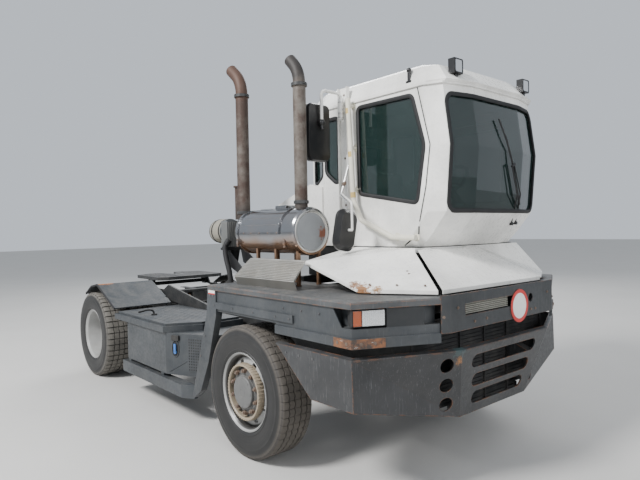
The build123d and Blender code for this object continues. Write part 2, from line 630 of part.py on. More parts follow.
MUFFLER_PROFILE = [
    # (X from the front axle, radius)
    (-620, 0), (-620, 118), (-604, 150), (-565, MUFFLER_R), (-545, BAND_R), (-515, BAND_R),
    (-515, MUFFLER_R), (125, MUFFLER_R), (125, BAND_R), (155, BAND_R + 3), (250, BAND_R + 3),
    (266, BAND_R - 4), (268, 170), (258, 166), (256, 0),
]
MUFFLER_LEGS = [-340, -80, 205]
STACKS = [
    # (X, foot, pipe radius, collar top, bend radius, bend angle, straight end)
    (AXLE_F + 142, MUFFLER_Z + 150, 52, 2900, 230, 45, 60),
    (AXLE_F - 690, 1600, 57, 2970, 250, 50, 95),
]
CANISTER_PROFILE = [
    # (X from the front axle, radius)
    (-1192, 0), (-1192, 52), (-1176, 84), (-1145, 106), (-1105, 115), (-925, 115), (-925, 0),
]


def exhaust():
    drum = spun([(x, r) for x, r in MUFFLER_PROFILE], AXLE_F, MUFFLER_Y, MUFFLER_Z)
    # Half-round heat shield with its ribs, on the upper side of the drum
    shield = spun([(-430, MUFFLER_R - 1), (-430, SHIELD_R), (82, SHIELD_R), (82, MUFFLER_R - 1)],
                  AXLE_F, MUFFLER_Y, MUFFLER_Z)
    for k in range(9):
        angle = radians(18 * k + 18)
        y, z = MUFFLER_Y - SHIELD_R * cos(angle), MUFFLER_Z + SHIELD_R * sin(angle)
        shield += rod((AXLE_F - 420, y, z), (AXLE_F + 72, y, z), 4)
    shield &= box(-BEYOND, BEYOND, -BEYOND, BEYOND, MUFFLER_Z - 20, BEYOND)
    legs = Part()
    for x in MUFFLER_LEGS:
        for y in (MUFFLER_Y - 115, MUFFLER_Y + 90):
            legs += box(AXLE_F + x, AXLE_F + x + 26, y, y + 25, DECK_Z, MUFFLER_Z - 120)
    parts["muffler"] = Part() + [drum, shield, legs]
    stacks = Part()
    for x, foot, radius, top, bend, turn, tip in STACKS:
        stacks += rod((x, MUFFLER_Y, foot), (x, MUFFLER_Y, top), radius)
        stacks += rod((x, MUFFLER_Y, top - 30), (x, MUFFLER_Y, top), radius + 9)
        elbow = revolve(Circle(radius - 3), Axis((-bend, 0, 0), (0, 1, 0)), revolution_arc=-turn)
        stacks += Pos(x, MUFFLER_Y, top) * elbow
        end_x = x - bend * (1 - cos(radians(turn)))
        end_z = top + bend * sin(radians(turn))
        tip_x, tip_z = end_x - tip * sin(radians(turn)), end_z + tip * cos(radians(turn))
        stacks += rod((end_x, MUFFLER_Y, end_z), (tip_x, MUFFLER_Y, tip_z), radius - 3)
    rear_x = STACKS[1][0]
    stacks += rod((rear_x, MUFFLER_Y, MUFFLER_Z), (AXLE_F - 620 - SEAT_GAP, MUFFLER_Y, MUFFLER_Z), 50)
    # Sleeve beside the rear stack, with its flange, and the strap between them
    sleeve_x = rear_x - 95
    stacks += rod((sleeve_x, MUFFLER_Y, 1840), (sleeve_x, MUFFLER_Y, 2150), 30)
    stacks += rod((sleeve_x, MUFFLER_Y, 2135), (sleeve_x, MUFFLER_Y, 2150), 42)
    stacks += box(sleeve_x, rear_x, MUFFLER_Y - 15, MUFFLER_Y + 15, 1850, 1890)
    room = [(x, r + SEAT_GAP if r else 0) for x, r in MUFFLER_PROFILE]
    parts["exhaust_stacks"] = stacks - spun(room, AXLE_F, MUFFLER_Y, MUFFLER_Z)
    # Canister, its grey box with a funnel, and their brackets from the deck
    x0, x1 = AXLE_F - 925, AXLE_F - 815
    holder = spun(CANISTER_PROFILE, AXLE_F, MUFFLER_Y, 1735)
    holder += box(x0, x1, MUFFLER_Y - 105, MUFFLER_Y + 105, 1580, 1830)
    holder += box(x0 - 6, x1 + 6, MUFFLER_Y - 112, MUFFLER_Y + 112, 1560, 1580)
    mid_x = (x0 + x1) / 2
    holder += Pos(mid_x, MUFFLER_Y, 1490) * Cone(28, 52, 141)
    for y in (MUFFLER_Y - 100, MUFFLER_Y + 90):
        holder += prism_y([(x0 + 20, 1565), (x1 - 10, 1565), (DECK_REAR + 16, DECK_Z + 40),
                           (DECK_REAR + 16, DECK_Z), (DECK_REAR - 4, DECK_Z), (x0 + 60, 1440)], y, y + 10)
    parts["canister_and_box"] = holder


GUARD_RIBS = 12


def guard():
    # A ribbed sheet folded up from the deck's edge, its ends cut at a slant
    low, top = (-1080.0, 1360.0), (-970.0, 1510.0)
    span = hypot(top[0] - low[0], top[1] - low[1])
    along = ((top[0] - low[0]) / span, (top[1] - low[1]) / span)
    step = (span - 16) / GUARD_RIBS
    face = []
    for k in range(GUARD_RIBS):
        for share, rise in ((0.0, 0), (0.25, 5), (0.6, 5), (0.85, 0)):
            reach = 8 + step * (k + share)
            face.append((low[0] + along[0] * reach - along[1] * rise,
                         low[1] + along[1] * reach + along[0] * rise))
    back = [(top[0] + 14, top[1]), (low[0] + 12, low[1] - 3), (-1046, DECK_Z)]
    sheet = prism_x([(-1055, DECK_Z), low] + face + [top] + back, AXLE_F - 350, AXLE_F + 440)
    slant = [(AXLE_F - 351, 1350), (AXLE_F - 350, 1350), (AXLE_F - 262, 1520), (AXLE_F - 351, 1520)]
    sheet -= prism_y(slant, -1200, -900)
    parts["ribbed_guard"] = sheet


CAB_LEVELS = [
    # (height, how far the front stands forward there)
    (CAB_BASE_Z, -128), (1690, -30), (1850, 100), (2330, 140), (CAB_EAVES_Z, 80),
]
ROOF_LEVELS = [
    # (height, how far the front stands forward, how far the sides draw in)
    (CAB_EAVES_Z + SEAT_GAP, 80, 0), (2800, 112, 0), (2925, 40, 45), (2962, -20, 120),
    (CAB_ROOF_Z, -120, 260),
]
ROOF_HOLLOW = [(CAB_EAVES_Z, 80, CAB_WALL), (2905, 20, 90), (CAB_ROOF_Z - 45, -120, 230)]
GUTTER = (2772, 2787, -13)
SEAM_TOP_Z = CAB_EAVES_Z + 20
SEAM_LINE = [
    # (X, height) of the joint between the side panel and the front frame
    (AXLE_F + 820, CAB_BASE_Z - 10), (AXLE_F + 945, 1690), (AXLE_F + 1030, 2034), (AXLE_F + 1073, 2335),
    (AXLE_F + 965, SEAM_TOP_Z),
]


def cab_section(grow=0.0, front=0.0):
    """The plan outline of the cab, drawn in by grow, with its front moved by an amount."""
    x_front = AXLE_F + 1000 + front
    y0, y1 = CAB_Y0 + grow, CAB_Y1 - grow
    rear = CAB_REAR_X + grow
    corner = x_front + 60 - grow * 0.6
    nose = x_front + 120 - grow
    return [(rear, y0 + CAB_REAR_TUCK), (CAB_CORNER_X, y0), (x_front - 70, y0), (corner, y0 + 60),
            (nose, y0 + 330), (nose, y1 - 330), (corner, y1 - 60), (x_front - 70, y1), (CAB_CORNER_X, y1),
            (rear, y1 - CAB_REAR_TUCK)]


def cab_loft(levels):
    """A ruled body through the cab's sections at (height, front, grow) levels."""
    sections = [Pos(0, 0, z) * make_face(Polyline(*cab_section(grow, front), close=True))
                for z, front, grow in levels]
    return loft(sections, ruled=True)


def cab_skin(grow):
    """The body inside the cab's outline, drawn in by grow, a little over-long when drawn in."""
    over = 1 if grow else 0
    levels = [(z, front, grow) for z, front in CAB_LEVELS]
    levels[0] = (CAB_LEVELS[0][0] - over, CAB_LEVELS[0][1], grow)
    levels[-1] = (CAB_LEVELS[-1][0] + over, CAB_LEVELS[-1][1], grow)
    return cab_loft(levels)


SIDE_WINDOW = [(335, 2018), (942, 1915), (1015, 2341), (905, 2725), (325, 2732)]
QUARTER_FRONT = [(-75, 2225), (45, 2135), (95, 2135), (95, 2690), (-75, 2690)]
QUARTER_REAR = [(-340, 2150), (-265, 2150), (-125, 2205), (-125, 2690), (-340, 2690)]
SIDE_WINDOWS = [
    # (outline from the front axle, near and far Y of the cut)
    (SIDE_WINDOW, CAB_Y0 - 50, CAB_Y0 + 60), (QUARTER_FRONT, CAB_Y0 - 50, CAB_Y0 + 60),
    (QUARTER_REAR, CAB_Y0 - 50, CAB_Y0 + 180), (QUARTER_FRONT, CAB_Y1 - 60, CAB_Y1 + 50),
    (QUARTER_REAR, CAB_Y1 - 180, CAB_Y1 + 50),
]
WINDSCREEN = [(-180, 1850), (920, 1850), (962, 1895), (962, 2655), (920, 2705), (-180, 2705), (-222, 2655),
              (-222, 1895)]


def window_blocks(gap):
    """Blocks that fill the cab's window openings, drawn in by a gap: the windscreen, and the sides."""
    screen = prism_x(offset_path(WINDSCREEN, gap, closed=True), AXLE_F + 1050, AXLE_F + 1400)
    sides = Part()
    for outline, y0, y1 in SIDE_WINDOWS:
        placed = [(AXLE_F + x, z) for x, z in outline]
        sides += prism_y(offset_path(placed, gap, closed=True), y0, y1)
    return screen, sides


def door_outline(grow):
    """The left door's outline in X and Z, grown by an amount."""
    x0 = PILLAR_X1 + PANEL_GAP - grow
    return [(x0, DOOR_Z0 - grow), (DOOR_LOW_X1 + grow, DOOR_Z0 - grow), (DOOR_LOW_X1 + grow, 1600),
            (DOOR_X1 + grow, 1850), (DOOR_X1 + grow, DOOR_Z1 + grow), (x0, DOOR_Z1 + grow)]


HINGE_KNUCKLE_R = 10.0
HINGE_PIN_R = 5.0
HINGE_BORE_R = HINGE_PIN_R + 0.2
LEFT_HINGE = (DOOR_X1 + 2.5, CAB_Y1 + 12)
REAR_HINGE = (CAB_REAR_X - 12, REAR_DOOR_Y1 + 2.5)
HINGE_HEIGHTS = (1950.0, 2560.0)


def door_hinges(axis, leaf, lug):
    """Knuckles with a leaf for the door, and pins with their lugs for the frame."""
    knuckles, pins = Part(), Part()
    x, y = axis
    for z in HINGE_HEIGHTS:
        knuckle = Pos(x, y, z) * Cylinder(HINGE_KNUCKLE_R, 50) + box(*leaf, z - 25, z + 25)
        knuckles += knuckle - Pos(x, y, z) * Cylinder(HINGE_BORE_R, 60)
        pins += Pos(x, y, z) * Cylinder(HINGE_PIN_R, 80)
        for z0 in (z - 40, z + 30):
            pins += box(*lug, z0, z0 + 10)
    return knuckles, pins


def cab():
    shell = cab_skin(0) - cab_skin(CAB_WALL)
    screen, sides = window_blocks(0)
    shell -= screen
    shell -= sides
    shell -= prism_y(door_outline(PANEL_GAP), CAB_Y1 - 60, CAB_Y1 + 50)
    shell -= box(CAB_REAR_X - 50, CAB_REAR_X + 80, REAR_DOOR_Y0 - PANEL_GAP, REAR_DOOR_Y1 + PANEL_GAP,
                 CAB_BASE_Z - 10, REAR_DOOR_Z1 + PANEL_GAP)
    low_z, mid_y = CAB_BASE_Z - 10, (CAB_Y0 + CAB_Y1) / 2
    ahead = prism_y(SEAM_LINE + [(BEYOND, SEAM_TOP_Z), (BEYOND, low_z)], -BEYOND, BEYOND)
    seam = [(x - SEAT_GAP, z) for x, z in SEAM_LINE]
    behind = prism_y(seam + [(PILLAR_X1, SEAM_TOP_Z), (PILLAR_X1, low_z)], -BEYOND, mid_y - 1)
    front = (shell & ahead) + (shell & box(PILLAR_X1, AXLE_F + 1100, mid_y, BEYOND, 0, BEYOND))
    left_leaf = (DOOR_X1 - 35, DOOR_X1 + 2, CAB_Y1, CAB_Y1 + 6)
    left_lug = (DOOR_X1 + 2.5, DOOR_X1 + 40, CAB_Y1 - 2, CAB_Y1 + 19)
    left_leaves, left_pins = door_hinges(LEFT_HINGE, left_leaf, left_lug)
    edge = REAR_DOOR_Y1 + 2.5
    rear_leaf = (CAB_REAR_X - 6, CAB_REAR_X, REAR_DOOR_Y1 - 35, edge - 0.5)
    rear_lug = (CAB_REAR_X - 19, CAB_REAR_X + 2, edge, REAR_DOOR_Y1 + 40)
    rear_leaves, rear_pins = door_hinges(REAR_HINGE, rear_leaf, rear_lug)
    parts["cab_front_frame"] = front + left_pins
    parts["cab_right_panel"] = shell & behind
    rear = shell & box(-BEYOND, PILLAR_X1 - SEAT_GAP, -BEYOND, BEYOND, 0, BEYOND)
    parts["cab_rear_frame"] = rear + rear_pins
    # Floor and the tub's wall on it, open where the doors are, and the arms of the tilt axis
    x0, y0, y1 = CAB_REAR_X + 40, CAB_Y0 + 20, CAB_Y1 - 20
    parts["cab_floor"] = box(x0, TUB_FRONT, y0, y1, TUB_Z0, CAB_FLOOR_Z)
    tub = box(x0, TUB_FRONT, y0, y1, CAB_FLOOR_Z + SEAT_GAP, TUB_Z1)
    tub -= box(x0 + 30, TUB_FRONT - 30, y0 + 30, y1 - 30, CAB_FLOOR_Z, CAB_BASE_Z + 1)
    tub -= prism_y(door_outline(PANEL_GAP), y1 - 60, y1 + 60)
    tub -= box(x0 - 10, x0 + 60, REAR_DOOR_Y0 - PANEL_GAP, REAR_DOOR_Y1 + PANEL_GAP,
               CAB_FLOOR_Z + 20, CAB_BASE_Z + 1)
    arm_y0, arm_y1 = -TILT_ARM_Y - TILT_ARM_T / 2, -TILT_ARM_Y + TILT_ARM_T / 2
    arm_z1 = TUB_Z0 - SEAT_GAP
    arm = prism_y([(AXLE_F + 700, arm_z1), (TUB_FRONT, arm_z1), (AXLE_F + 1300, TILT_Z + 18),
                   (TILT_X, TILT_Z + 16), (TILT_X, TILT_Z - 28), (AXLE_F + 1250, TILT_Z - 38),
                   (AXLE_F + 700, TUB_Z0 - 30)], arm_y0, arm_y1)
    arm += rod((TILT_X, arm_y0, TILT_Z), (TILT_X, arm_y1, TILT_Z), TILT_BOSS_R)
    arm -= rod((TILT_X, -SIDE, TILT_Z), (TILT_X, 0, TILT_Z), TILT_R + SEAT_GAP)
    parts["cab_tub"] = tub
    parts["tilt_arms"] = both(arm)
    z0, z1, grow = GUTTER
    roof = cab_loft(ROOF_LEVELS) + prism_z(cab_section(grow, ROOF_LEVELS[0][1]), z0, z1)
    parts["cab_roof"] = roof - cab_loft(ROOF_HOLLOW)
    # Low housing behind the right half of the cab, its top falling to the rear
    housing = prism_y([(AXLE_F - 790, CAB_BASE_Z + 10), (AXLE_F - 130, CAB_BASE_Z + 10), (AXLE_F - 130, 2109),
                       (AXLE_F - 302, 2143), (AXLE_F - 790, 1980)], CAB_Y0, 100)
    housing -= prism_y([(AXLE_F - 780, CAB_BASE_Z), (AXLE_F - 140, CAB_BASE_Z), (AXLE_F - 140, 2095),
                        (AXLE_F - 302, 2131), (AXLE_F - 780, 1971)], CAB_Y0 + 10, 90)
    parts["rear_housing"] = housing - cab_skin(-SEAT_GAP)
    return left_leaves, rear_leaves


def glazing():
    ring = cab_skin(14) - cab_skin(22)
    screen, sides = window_blocks(SEAT_GAP)
    parts["windscreen"] = ring & screen
    parts["cab_side_windows"] = ring & sides


def doors(left_leaves, rear_leaves):
    x0, x1 = PILLAR_X1 + PANEL_GAP + DOOR_FRAME, DOOR_X1 - DOOR_FRAME
    y0, y1 = CAB_Y1 - CAB_WALL, CAB_Y1
    z0, z1 = DOOR_GLASS_Z0, DOOR_Z1 - DOOR_FRAME
    door = prism_y(door_outline(0), y0, y1) - box(x0, x1, y0 - 10, y1 + 10, z0, z1)
    parts["left_door"] = door + left_leaves
    parts["left_door_glass"] = box(x0 + SEAT_GAP, x1 - SEAT_GAP, y0 + 15, y0 + 21,
                                   z0 + SEAT_GAP, z1 - SEAT_GAP)
    x0, x1 = CAB_REAR_X, CAB_REAR_X + CAB_WALL
    y0, y1 = REAR_DOOR_Y0 + DOOR_FRAME, REAR_DOOR_Y1 - DOOR_FRAME
    z1 = REAR_DOOR_Z1 - DOOR_FRAME
    door = box(x0, x1, REAR_DOOR_Y0, REAR_DOOR_Y1, DOOR_Z0, REAR_DOOR_Z1)
    door -= box(x0 - 10, x1 + 10, y0, y1, z0, z1)
    parts["rear_door"] = door + rear_leaves
    parts["rear_door_glass"] = box(x0 + 15, x0 + 21, y0 + SEAT_GAP, y1 - SEAT_GAP,
                                   z0 + SEAT_GAP, z1 - SEAT_GAP)


SKIRT_T = 10.0
SKIRT_LIP = 26.0
SKIRT_Z = 1330.0


def skirts():
    tub_x, tub_y = TUB_FRONT + SEAT_GAP, CAB_Y0 + 20 - SEAT_GAP
    apex = (AXLE_F + 935, -345, 1584)
    front_low = (AXLE_F + 1390, -650, SKIRT_Z)
    corner_low = (AXLE_F + 940, -920, SKIRT_Z)
    rear_end = (AXLE_F + 380, -920, 1500)
    rear_top = (AXLE_F + 240, -300, 1584)
    skirt = Part()
    for outline in ([apex, front_low, corner_low], [apex, corner_low, rear_end], [apex, rear_end, rear_top]):
        skirt += panel(outline, SKIRT_T)
    # Upright lip along the lower edges
    for start, end, dx, dy in ((front_low, corner_low, -5, 7), (corner_low, rear_end, 0, 8),
                               (rear_end, rear_top, 7, 2)):
        inward = [(x + dx, y + dy, z) for x, y, z in (end, start)]
        skirt += panel([start, end] + inward, SKIRT_LIP)
    skirt += box(AXLE_F + 244, tub_x + 4, -335, tub_y, 1556, 1583)
    skirt += box(tub_x, AXLE_F + 980, -372, 1040, 1550, 1583)
    skirt += panel([(AXLE_F + 970, 382, 1584), (AXLE_F + 1412, 642, SKIRT_Z),
                    (AXLE_F + 1170, 1130, SKIRT_Z), (AXLE_F + 970, 1050, 1584)], SKIRT_T)
    top_x, low_x, low_z = FLAP_X + 13, AXLE_F + 1410, 1332
    flap = panel([(top_x, -372, FLAP_Z + 4), (low_x, -625, low_z), (low_x, 625, low_z),
                  (top_x, 372, FLAP_Z + 4)], SKIRT_T)
    flap += box(low_x - 6, low_x, -625, 625, low_z - SKIRT_LIP, low_z)
    for y in (-250, 250):
        flap += rod((FLAP_X, y - 30, FLAP_Z), (FLAP_X, y + 30, FLAP_Z), 12)
        flap += box(FLAP_X + 4, FLAP_X + 30, y - 30, y + 30, FLAP_Z - 14, FLAP_Z - 4)
        flap -= rod((FLAP_X, y - 31, FLAP_Z), (FLAP_X, y + 31, FLAP_Z), 6.2)
        skirt += rod((FLAP_X, y - 44, FLAP_Z), (FLAP_X, y + 44, FLAP_Z), 6)
        for y0 in (y - 44, y + 34):
            skirt += box(AXLE_F + 975, FLAP_X + 6, y0, y0 + 10, FLAP_Z - 8, FLAP_Z + 8)
    parts["cab_skirt"] = skirt
    parts["front_flap"] = flap


STEER_CENTRE = (AXLE_F + 690, 400, 2100)
STEER_TILT = 40.0
COLUMN_BORE = 15.5


def interior():
    floor = CAB_FLOOR_Z + SEAT_GAP
    seat = box(AXLE_F - 20, AXLE_F + 480, 150, 650, 1740, 1860)
    seat += prism_y([(AXLE_F - 20, 1800), (AXLE_F + 80, 1860), (AXLE_F + 50, 2400), (AXLE_F - 60, 2400)],
                    170, 630)
    parts["driver_seat"] = seat + box(AXLE_F + 100, AXLE_F + 340, 300, 500, floor, 1740)
    turn = Pos(*STEER_CENTRE) * Rot(0, -STEER_TILT, 0)

    def along(distance):
        x, y, z = STEER_CENTRE
        return (x + distance * sin(radians(STEER_TILT)), y, z - distance * cos(radians(STEER_TILT)))

    y0, y1 = CAB_Y0 + 125, CAB_Y1 - 125
    dash = prism_y([(AXLE_F + 800, floor), (AXLE_F + 905, floor), (AXLE_F + 905, 1680), (AXLE_F + 985, 1700),
                    (AXLE_F + 985, 1815), (AXLE_F + 800, 1850)], y0, y1)
    dash += rod(along(60), along(345), 32)
    parts["dashboard"] = dash - rod(along(50), along(150), COLUMN_BORE)
    wheel = turn * Torus(210, 16) + turn * Cylinder(45, 30) + turn * Box(24, 420, 18)
    parts["steering_wheel"] = wheel + rod(along(0), along(140), COLUMN_BORE - 0.5)


MIRROR_X = AXLE_F + 150.0
MIRROR_TUBE_R = 13.0
MIRROR_POST = (AXLE_F + 125.0, AXLE_F + 238.0)
MIRRORS = [
    # (the cab's side, direction outward, middle and width of the head)
    (CAB_Y0, -1, -560, 240), (CAB_Y1, 1, CAB_Y1 + 131, 178),
]


def mirrors():
    arms, heads = Part(), Part()
    for cab_y, side, mid_y, width in MIRRORS:
        near, out = cab_y + side * SEAT_GAP, cab_y + side * 34
        # Post on the cab's side, a channel with its two flanges
        x0, x1 = MIRROR_POST
        arms += box(x0, x1, near, near + side * 6, 1900, 2920)
        for x in (x0, x1 - 6):
            arms += box(x, x + 6, near, out, 1900, 2920)
        # Tube bent over the head, with its clamp at the post and the ball on the head
        tube_x, clamp_y = AXLE_F + 190, cab_y + side * 55
        arms += tube([(tube_x, clamp_y, 2640), (tube_x, clamp_y, 2862), (tube_x, mid_y, 2862),
                      (tube_x, mid_y, 2560)], 45, MIRROR_TUBE_R)
        arms += rod((tube_x, clamp_y, 2650), (tube_x, clamp_y, 2822), 24)
        arms += box(tube_x - 12, tube_x + 12, near, clamp_y, 2700, 2760)
        arms += Pos(tube_x, mid_y, 2600) * Sphere(28)
        face = MIRROR_X + 26
        outline = Plane.YZ * RectangleRounded(width, 470, 50)
        head = extrude(outline, amount=34) + Pos(34, 0, 0) * extrude(outline, amount=18, taper=30)
        heads += Pos(face - 66, mid_y, 2525) * head - Pos(tube_x, mid_y, 2600) * Sphere(28 + SEAT_GAP)
    # Round-cornered convex mirror low on the right, on a thin bent arm
    lean = Pos(AXLE_F + 470, -600, 1725) * Rot(-12, 0, 0)
    oval = extrude(Plane.YZ * RectangleRounded(215, 320, 75), amount=22)
    oval += Pos(22, 0, 0) * extrude(Plane.YZ * RectangleRounded(215, 320, 75), amount=30, taper=45)
    heads += lean * oval
    end = lean * Pos(52 + SEAT_GAP, 0, 0)
    tip = (end.position.X, end.position.Y, end.position.Z)
    arms += tube([(MIRROR_POST[1] + 6, CAB_Y0 - 26, 2300), (MIRROR_POST[1] + 22, -420, 2020),
                  (tip[0] + 40, tip[1], 1935), (tip[0] + 40, tip[1], tip[2])], 30, 9)
    arms += rod((tip[0] + 40, tip[1], tip[2] + 1), (tip[0], tip[1], tip[2] + 1), 10)
    arms += box(MIRROR_POST[1] - 4, MIRROR_POST[1] + 22, CAB_Y0 - 4, CAB_Y0 - 44, 2270, 2350)
    z0, z1, grow = GUTTER
    notch = prism_z(cab_section(grow - SEAT_GAP, ROOF_LEVELS[0][1]), z0 - SEAT_GAP, z1 + SEAT_GAP)
    parts["mirror_arms"] = arms - notch
    parts["mirrors"] = heads


GRAB_RAIL_R = 21.0


def grab_rail():
    y = CAB_Y0 - 62
    line = [(AXLE_F + 282, 2808), (AXLE_F + 327, 1969), (AXLE_F + 412, 1804), (AXLE_F + 740, 1667),
            (AXLE_F + 971, 1661)]
    rail = tube([(x, y, z) for x, z in line], 60, GRAB_RAIL_R)
    for x, z in ((AXLE_F + 285, 2750), (AXLE_F + 303, 2400), (AXLE_F + 320, 2060), (AXLE_F + 745, 1667),
                 (AXLE_F + 930, 1661)):
        rail += rod((x, y, z), (x, CAB_Y0 - SEAT_GAP, z), 13)
    parts["grab_rail"] = rail


BOOM_OUTLINE = [
    # (X, height) of one arm, from its pivot to the rear and back
    (BOOM_PIVOT_X + 40, BOOM_PIVOT_Z + 38), (BOOM_PIVOT_X - 360, 910), (BOOM_PIVOT_X - 1320, 1070),
    (BOOM_PIVOT_X - 1460, 1000), (COUPLER_X + 80, 1006), (COUPLER_X + 30, 1074), (COUPLER_X - 30, 1074),
    (COUPLER_X - 42, 1010), (BOOM_PIVOT_X - 1480, 905), (BOOM_PIVOT_X - 20, BOOM_PIVOT_Z - 52),
    (BOOM_PIVOT_X + 40, BOOM_PIVOT_Z - 38),
]


def boom():
    arm = prism_y(BOOM_OUTLINE, -BOOM_OUT_Y, -BOOM_IN_Y)
    for x, z, radius in ((BOOM_PIVOT_X, BOOM_PIVOT_Z, BOOM_BOSS_R),
                         (COUPLER_X, COUPLER_PIN_Z, COUPLER_BOSS_R)):
        arm += rod((x, -BOOM_OUT_Y, z), (x, -BOOM_IN_Y, z), radius)
    arm -= rod((BOOM_PIVOT_X, -SIDE, BOOM_PIVOT_Z), (BOOM_PIVOT_X, 0, BOOM_PIVOT_Z), PIN_R + 0.5)
    # Lugs for the cylinder's eye, under the bar between the arms
    for offset in (-42, 42):
        y = -CYL_Y + offset
        arm += prism_y([(CYL_EYE_X - 32, CYL_EYE_Z - 34), (CYL_EYE_X + 32, CYL_EYE_Z - 34),
                        (CYL_EYE_X + 50, EYE_BAR_Z + 5), (CYL_EYE_X - 50, EYE_BAR_Z + 5)], y - 9, y + 9)
    arm += rod((CYL_EYE_X, -CYL_Y - 51, CYL_EYE_Z), (CYL_EYE_X, -CYL_Y + 51, CYL_EYE_Z), CYL_PIN_R)
    arm += box(CYL_EYE_X - 60, CYL_EYE_X + 60, -BOOM_OUT_Y + 2, 0, EYE_BAR_Z, EYE_BAR_Z + 26)
    pin = rod((COUPLER_X, -BOOM_OUT_Y, COUPLER_PIN_Z), (COUPLER_X, BOOM_OUT_Y, COUPLER_PIN_Z), PIN_R)
    parts["lift_boom"] = both(arm) + pin
    # Coupler plate with its jaw closed round the king pin and the throat behind it
    mid = (PLATE_Z0 + PLATE_Z1) / 2
    x0, x1 = COUPLER_X - PLATE_HALF_X, COUPLER_X + PLATE_HALF_X
    plate = prism_z([(x0 + 110, -PLATE_HALF_Y), (x1 - 60, -PLATE_HALF_Y), (x1, -PLATE_HALF_Y + 120),
                     (x1, PLATE_HALF_Y - 120), (x1 - 60, PLATE_HALF_Y), (x0 + 110, PLATE_HALF_Y), (x0, 250),
                     (x0, 120), (COUPLER_X - 75, 30), (COUPLER_X - 75, -30), (x0, -120), (x0, -250)],
                    PLATE_Z0, PLATE_Z1)
    plate -= Pos(COUPLER_X, 0, mid) * Cylinder(KINGPIN_BORE_R, 60)
    ear = prism_y([(COUPLER_X - 90, PLATE_Z0), (COUPLER_X - 45, COUPLER_PIN_Z - 45),
                   (COUPLER_X + 45, COUPLER_PIN_Z - 45), (COUPLER_X + 90, PLATE_Z0)], -410, -380)
    ear -= rod((COUPLER_X, -SIDE, COUPLER_PIN_Z), (COUPLER_X, 0, COUPLER_PIN_Z), PIN_R + 0.5)
    parts["fifth_wheel"] = plate + both(ear)


BARREL_R = 46.0
BARREL_END = 560.0
RAM_R = 25.0
EYE_R = 34.0


def lift_cylinders():
    reach = Vector(CYL_EYE_X - CYL_BASE_X, 0, CYL_EYE_Z - CYL_BASE_Z)
    unit = reach.normalized()
    y = -CYL_Y

    def along(distance):
        return (CYL_BASE_X + unit.X * distance, y, CYL_BASE_Z + unit.Z * distance)

    barrel = rod(along(80), along(BARREL_END), BARREL_R) + rod(along(0), along(90), 22)
    barrel += rod((CYL_BASE_X, y - 29, CYL_BASE_Z), (CYL_BASE_X, y + 29, CYL_BASE_Z), EYE_R)
    barrel -= rod(along(280), along(BARREL_END + 1), RAM_R + 1)
    barrel -= rod((CYL_BASE_X, y - 30, CYL_BASE_Z), (CYL_BASE_X, y + 30, CYL_BASE_Z), CYL_PIN_R + 0.5)
    ram = rod(along(290), along(reach.length), RAM_R)
    ram += rod((CYL_EYE_X, y - 30, CYL_EYE_Z), (CYL_EYE_X, y + 30, CYL_EYE_Z), EYE_R)
    ram -= rod((CYL_EYE_X, y - 31, CYL_EYE_Z), (CYL_EYE_X, y + 31, CYL_EYE_Z), CYL_EYE_BORE)
    parts["lift_barrels"] = both(barrel)
    parts["lift_rams"] = both(ram)


def lamps():
    # Headlamps in the recesses of the side beams, tail lamps behind the rails
    front = offset_path([(CORNER_X - 100, -SIDE), (CORNER_X, -SIDE), on_wing(1047)], BEAM_INSET)
    light = wall(front[1:], RECESS_DEPTH - SEAT_GAP, 1146, 1246)
    light += box(RAIL_REAR, RAIL_REAR + 60, -(RAIL_Y + SEAT_GAP), -800, 780, 880)
    parts["road_lamps"] = both(light)
    # Work lamps on the roof's front edge, and the stub of a beacon on its right edge
    work = Part()
    for y in (CAB_Y0 + 185, CAB_Y1 - 185):
        work += box(AXLE_F + 1135, AXLE_F + 1190, y - 52, y + 52, 2850, 2958)
        work += box(AXLE_F + 1120, AXLE_F + 1175, y - 14, y + 14, 2800, 2852)
    x = AXLE_F + 868
    work += box(x - 24, x + 24, CAB_Y0 + 5, CAB_Y0 + 40, 2820, 2836)
    work += rod((x, CAB_Y0 + 14, 2830), (x, CAB_Y0 + 14, 2905), 13)
    work += Pos(x, CAB_Y0 + 14, 2915) * Sphere(19)
    parts["work_lamps"] = work - cab_loft(ROOF_LEVELS) - prism_z(cab_section(GUTTER[2], 80), 2760, GUTTER[1])


chassis()
deck_carriers()
bumper()
fascia()
deck()
side_beams()
axles()
knuckles()
tie_rod()
wheels()
powertrain()
boxes()
fenders()
exhaust()
guard()
left_door_leaves, rear_door_leaves = cab()
glazing()
doors(left_door_leaves, rear_door_leaves)
skirts()
interior()
mirrors()
grab_rail()
boom()
lift_cylinders()
lamps()

os.makedirs("parts", exist_ok=True)
for name, solid in parts.items():
    export_step(solid, "parts/" + name + ".step")
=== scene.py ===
import json
import math

import bmesh
import bpy
from mathutils import Matrix, Vector


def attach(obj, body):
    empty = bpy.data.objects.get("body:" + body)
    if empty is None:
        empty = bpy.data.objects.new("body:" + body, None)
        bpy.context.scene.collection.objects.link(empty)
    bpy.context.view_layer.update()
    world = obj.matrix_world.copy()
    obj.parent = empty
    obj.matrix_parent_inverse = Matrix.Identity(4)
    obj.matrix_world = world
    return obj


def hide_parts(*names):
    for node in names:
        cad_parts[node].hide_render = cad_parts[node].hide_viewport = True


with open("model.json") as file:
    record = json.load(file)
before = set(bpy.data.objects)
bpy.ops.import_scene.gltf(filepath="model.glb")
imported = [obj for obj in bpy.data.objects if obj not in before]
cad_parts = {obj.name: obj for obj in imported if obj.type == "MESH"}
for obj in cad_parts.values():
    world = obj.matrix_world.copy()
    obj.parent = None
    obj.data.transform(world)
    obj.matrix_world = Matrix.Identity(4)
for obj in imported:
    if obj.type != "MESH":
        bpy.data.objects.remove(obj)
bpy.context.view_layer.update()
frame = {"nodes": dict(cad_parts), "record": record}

NODES = frame["nodes"]

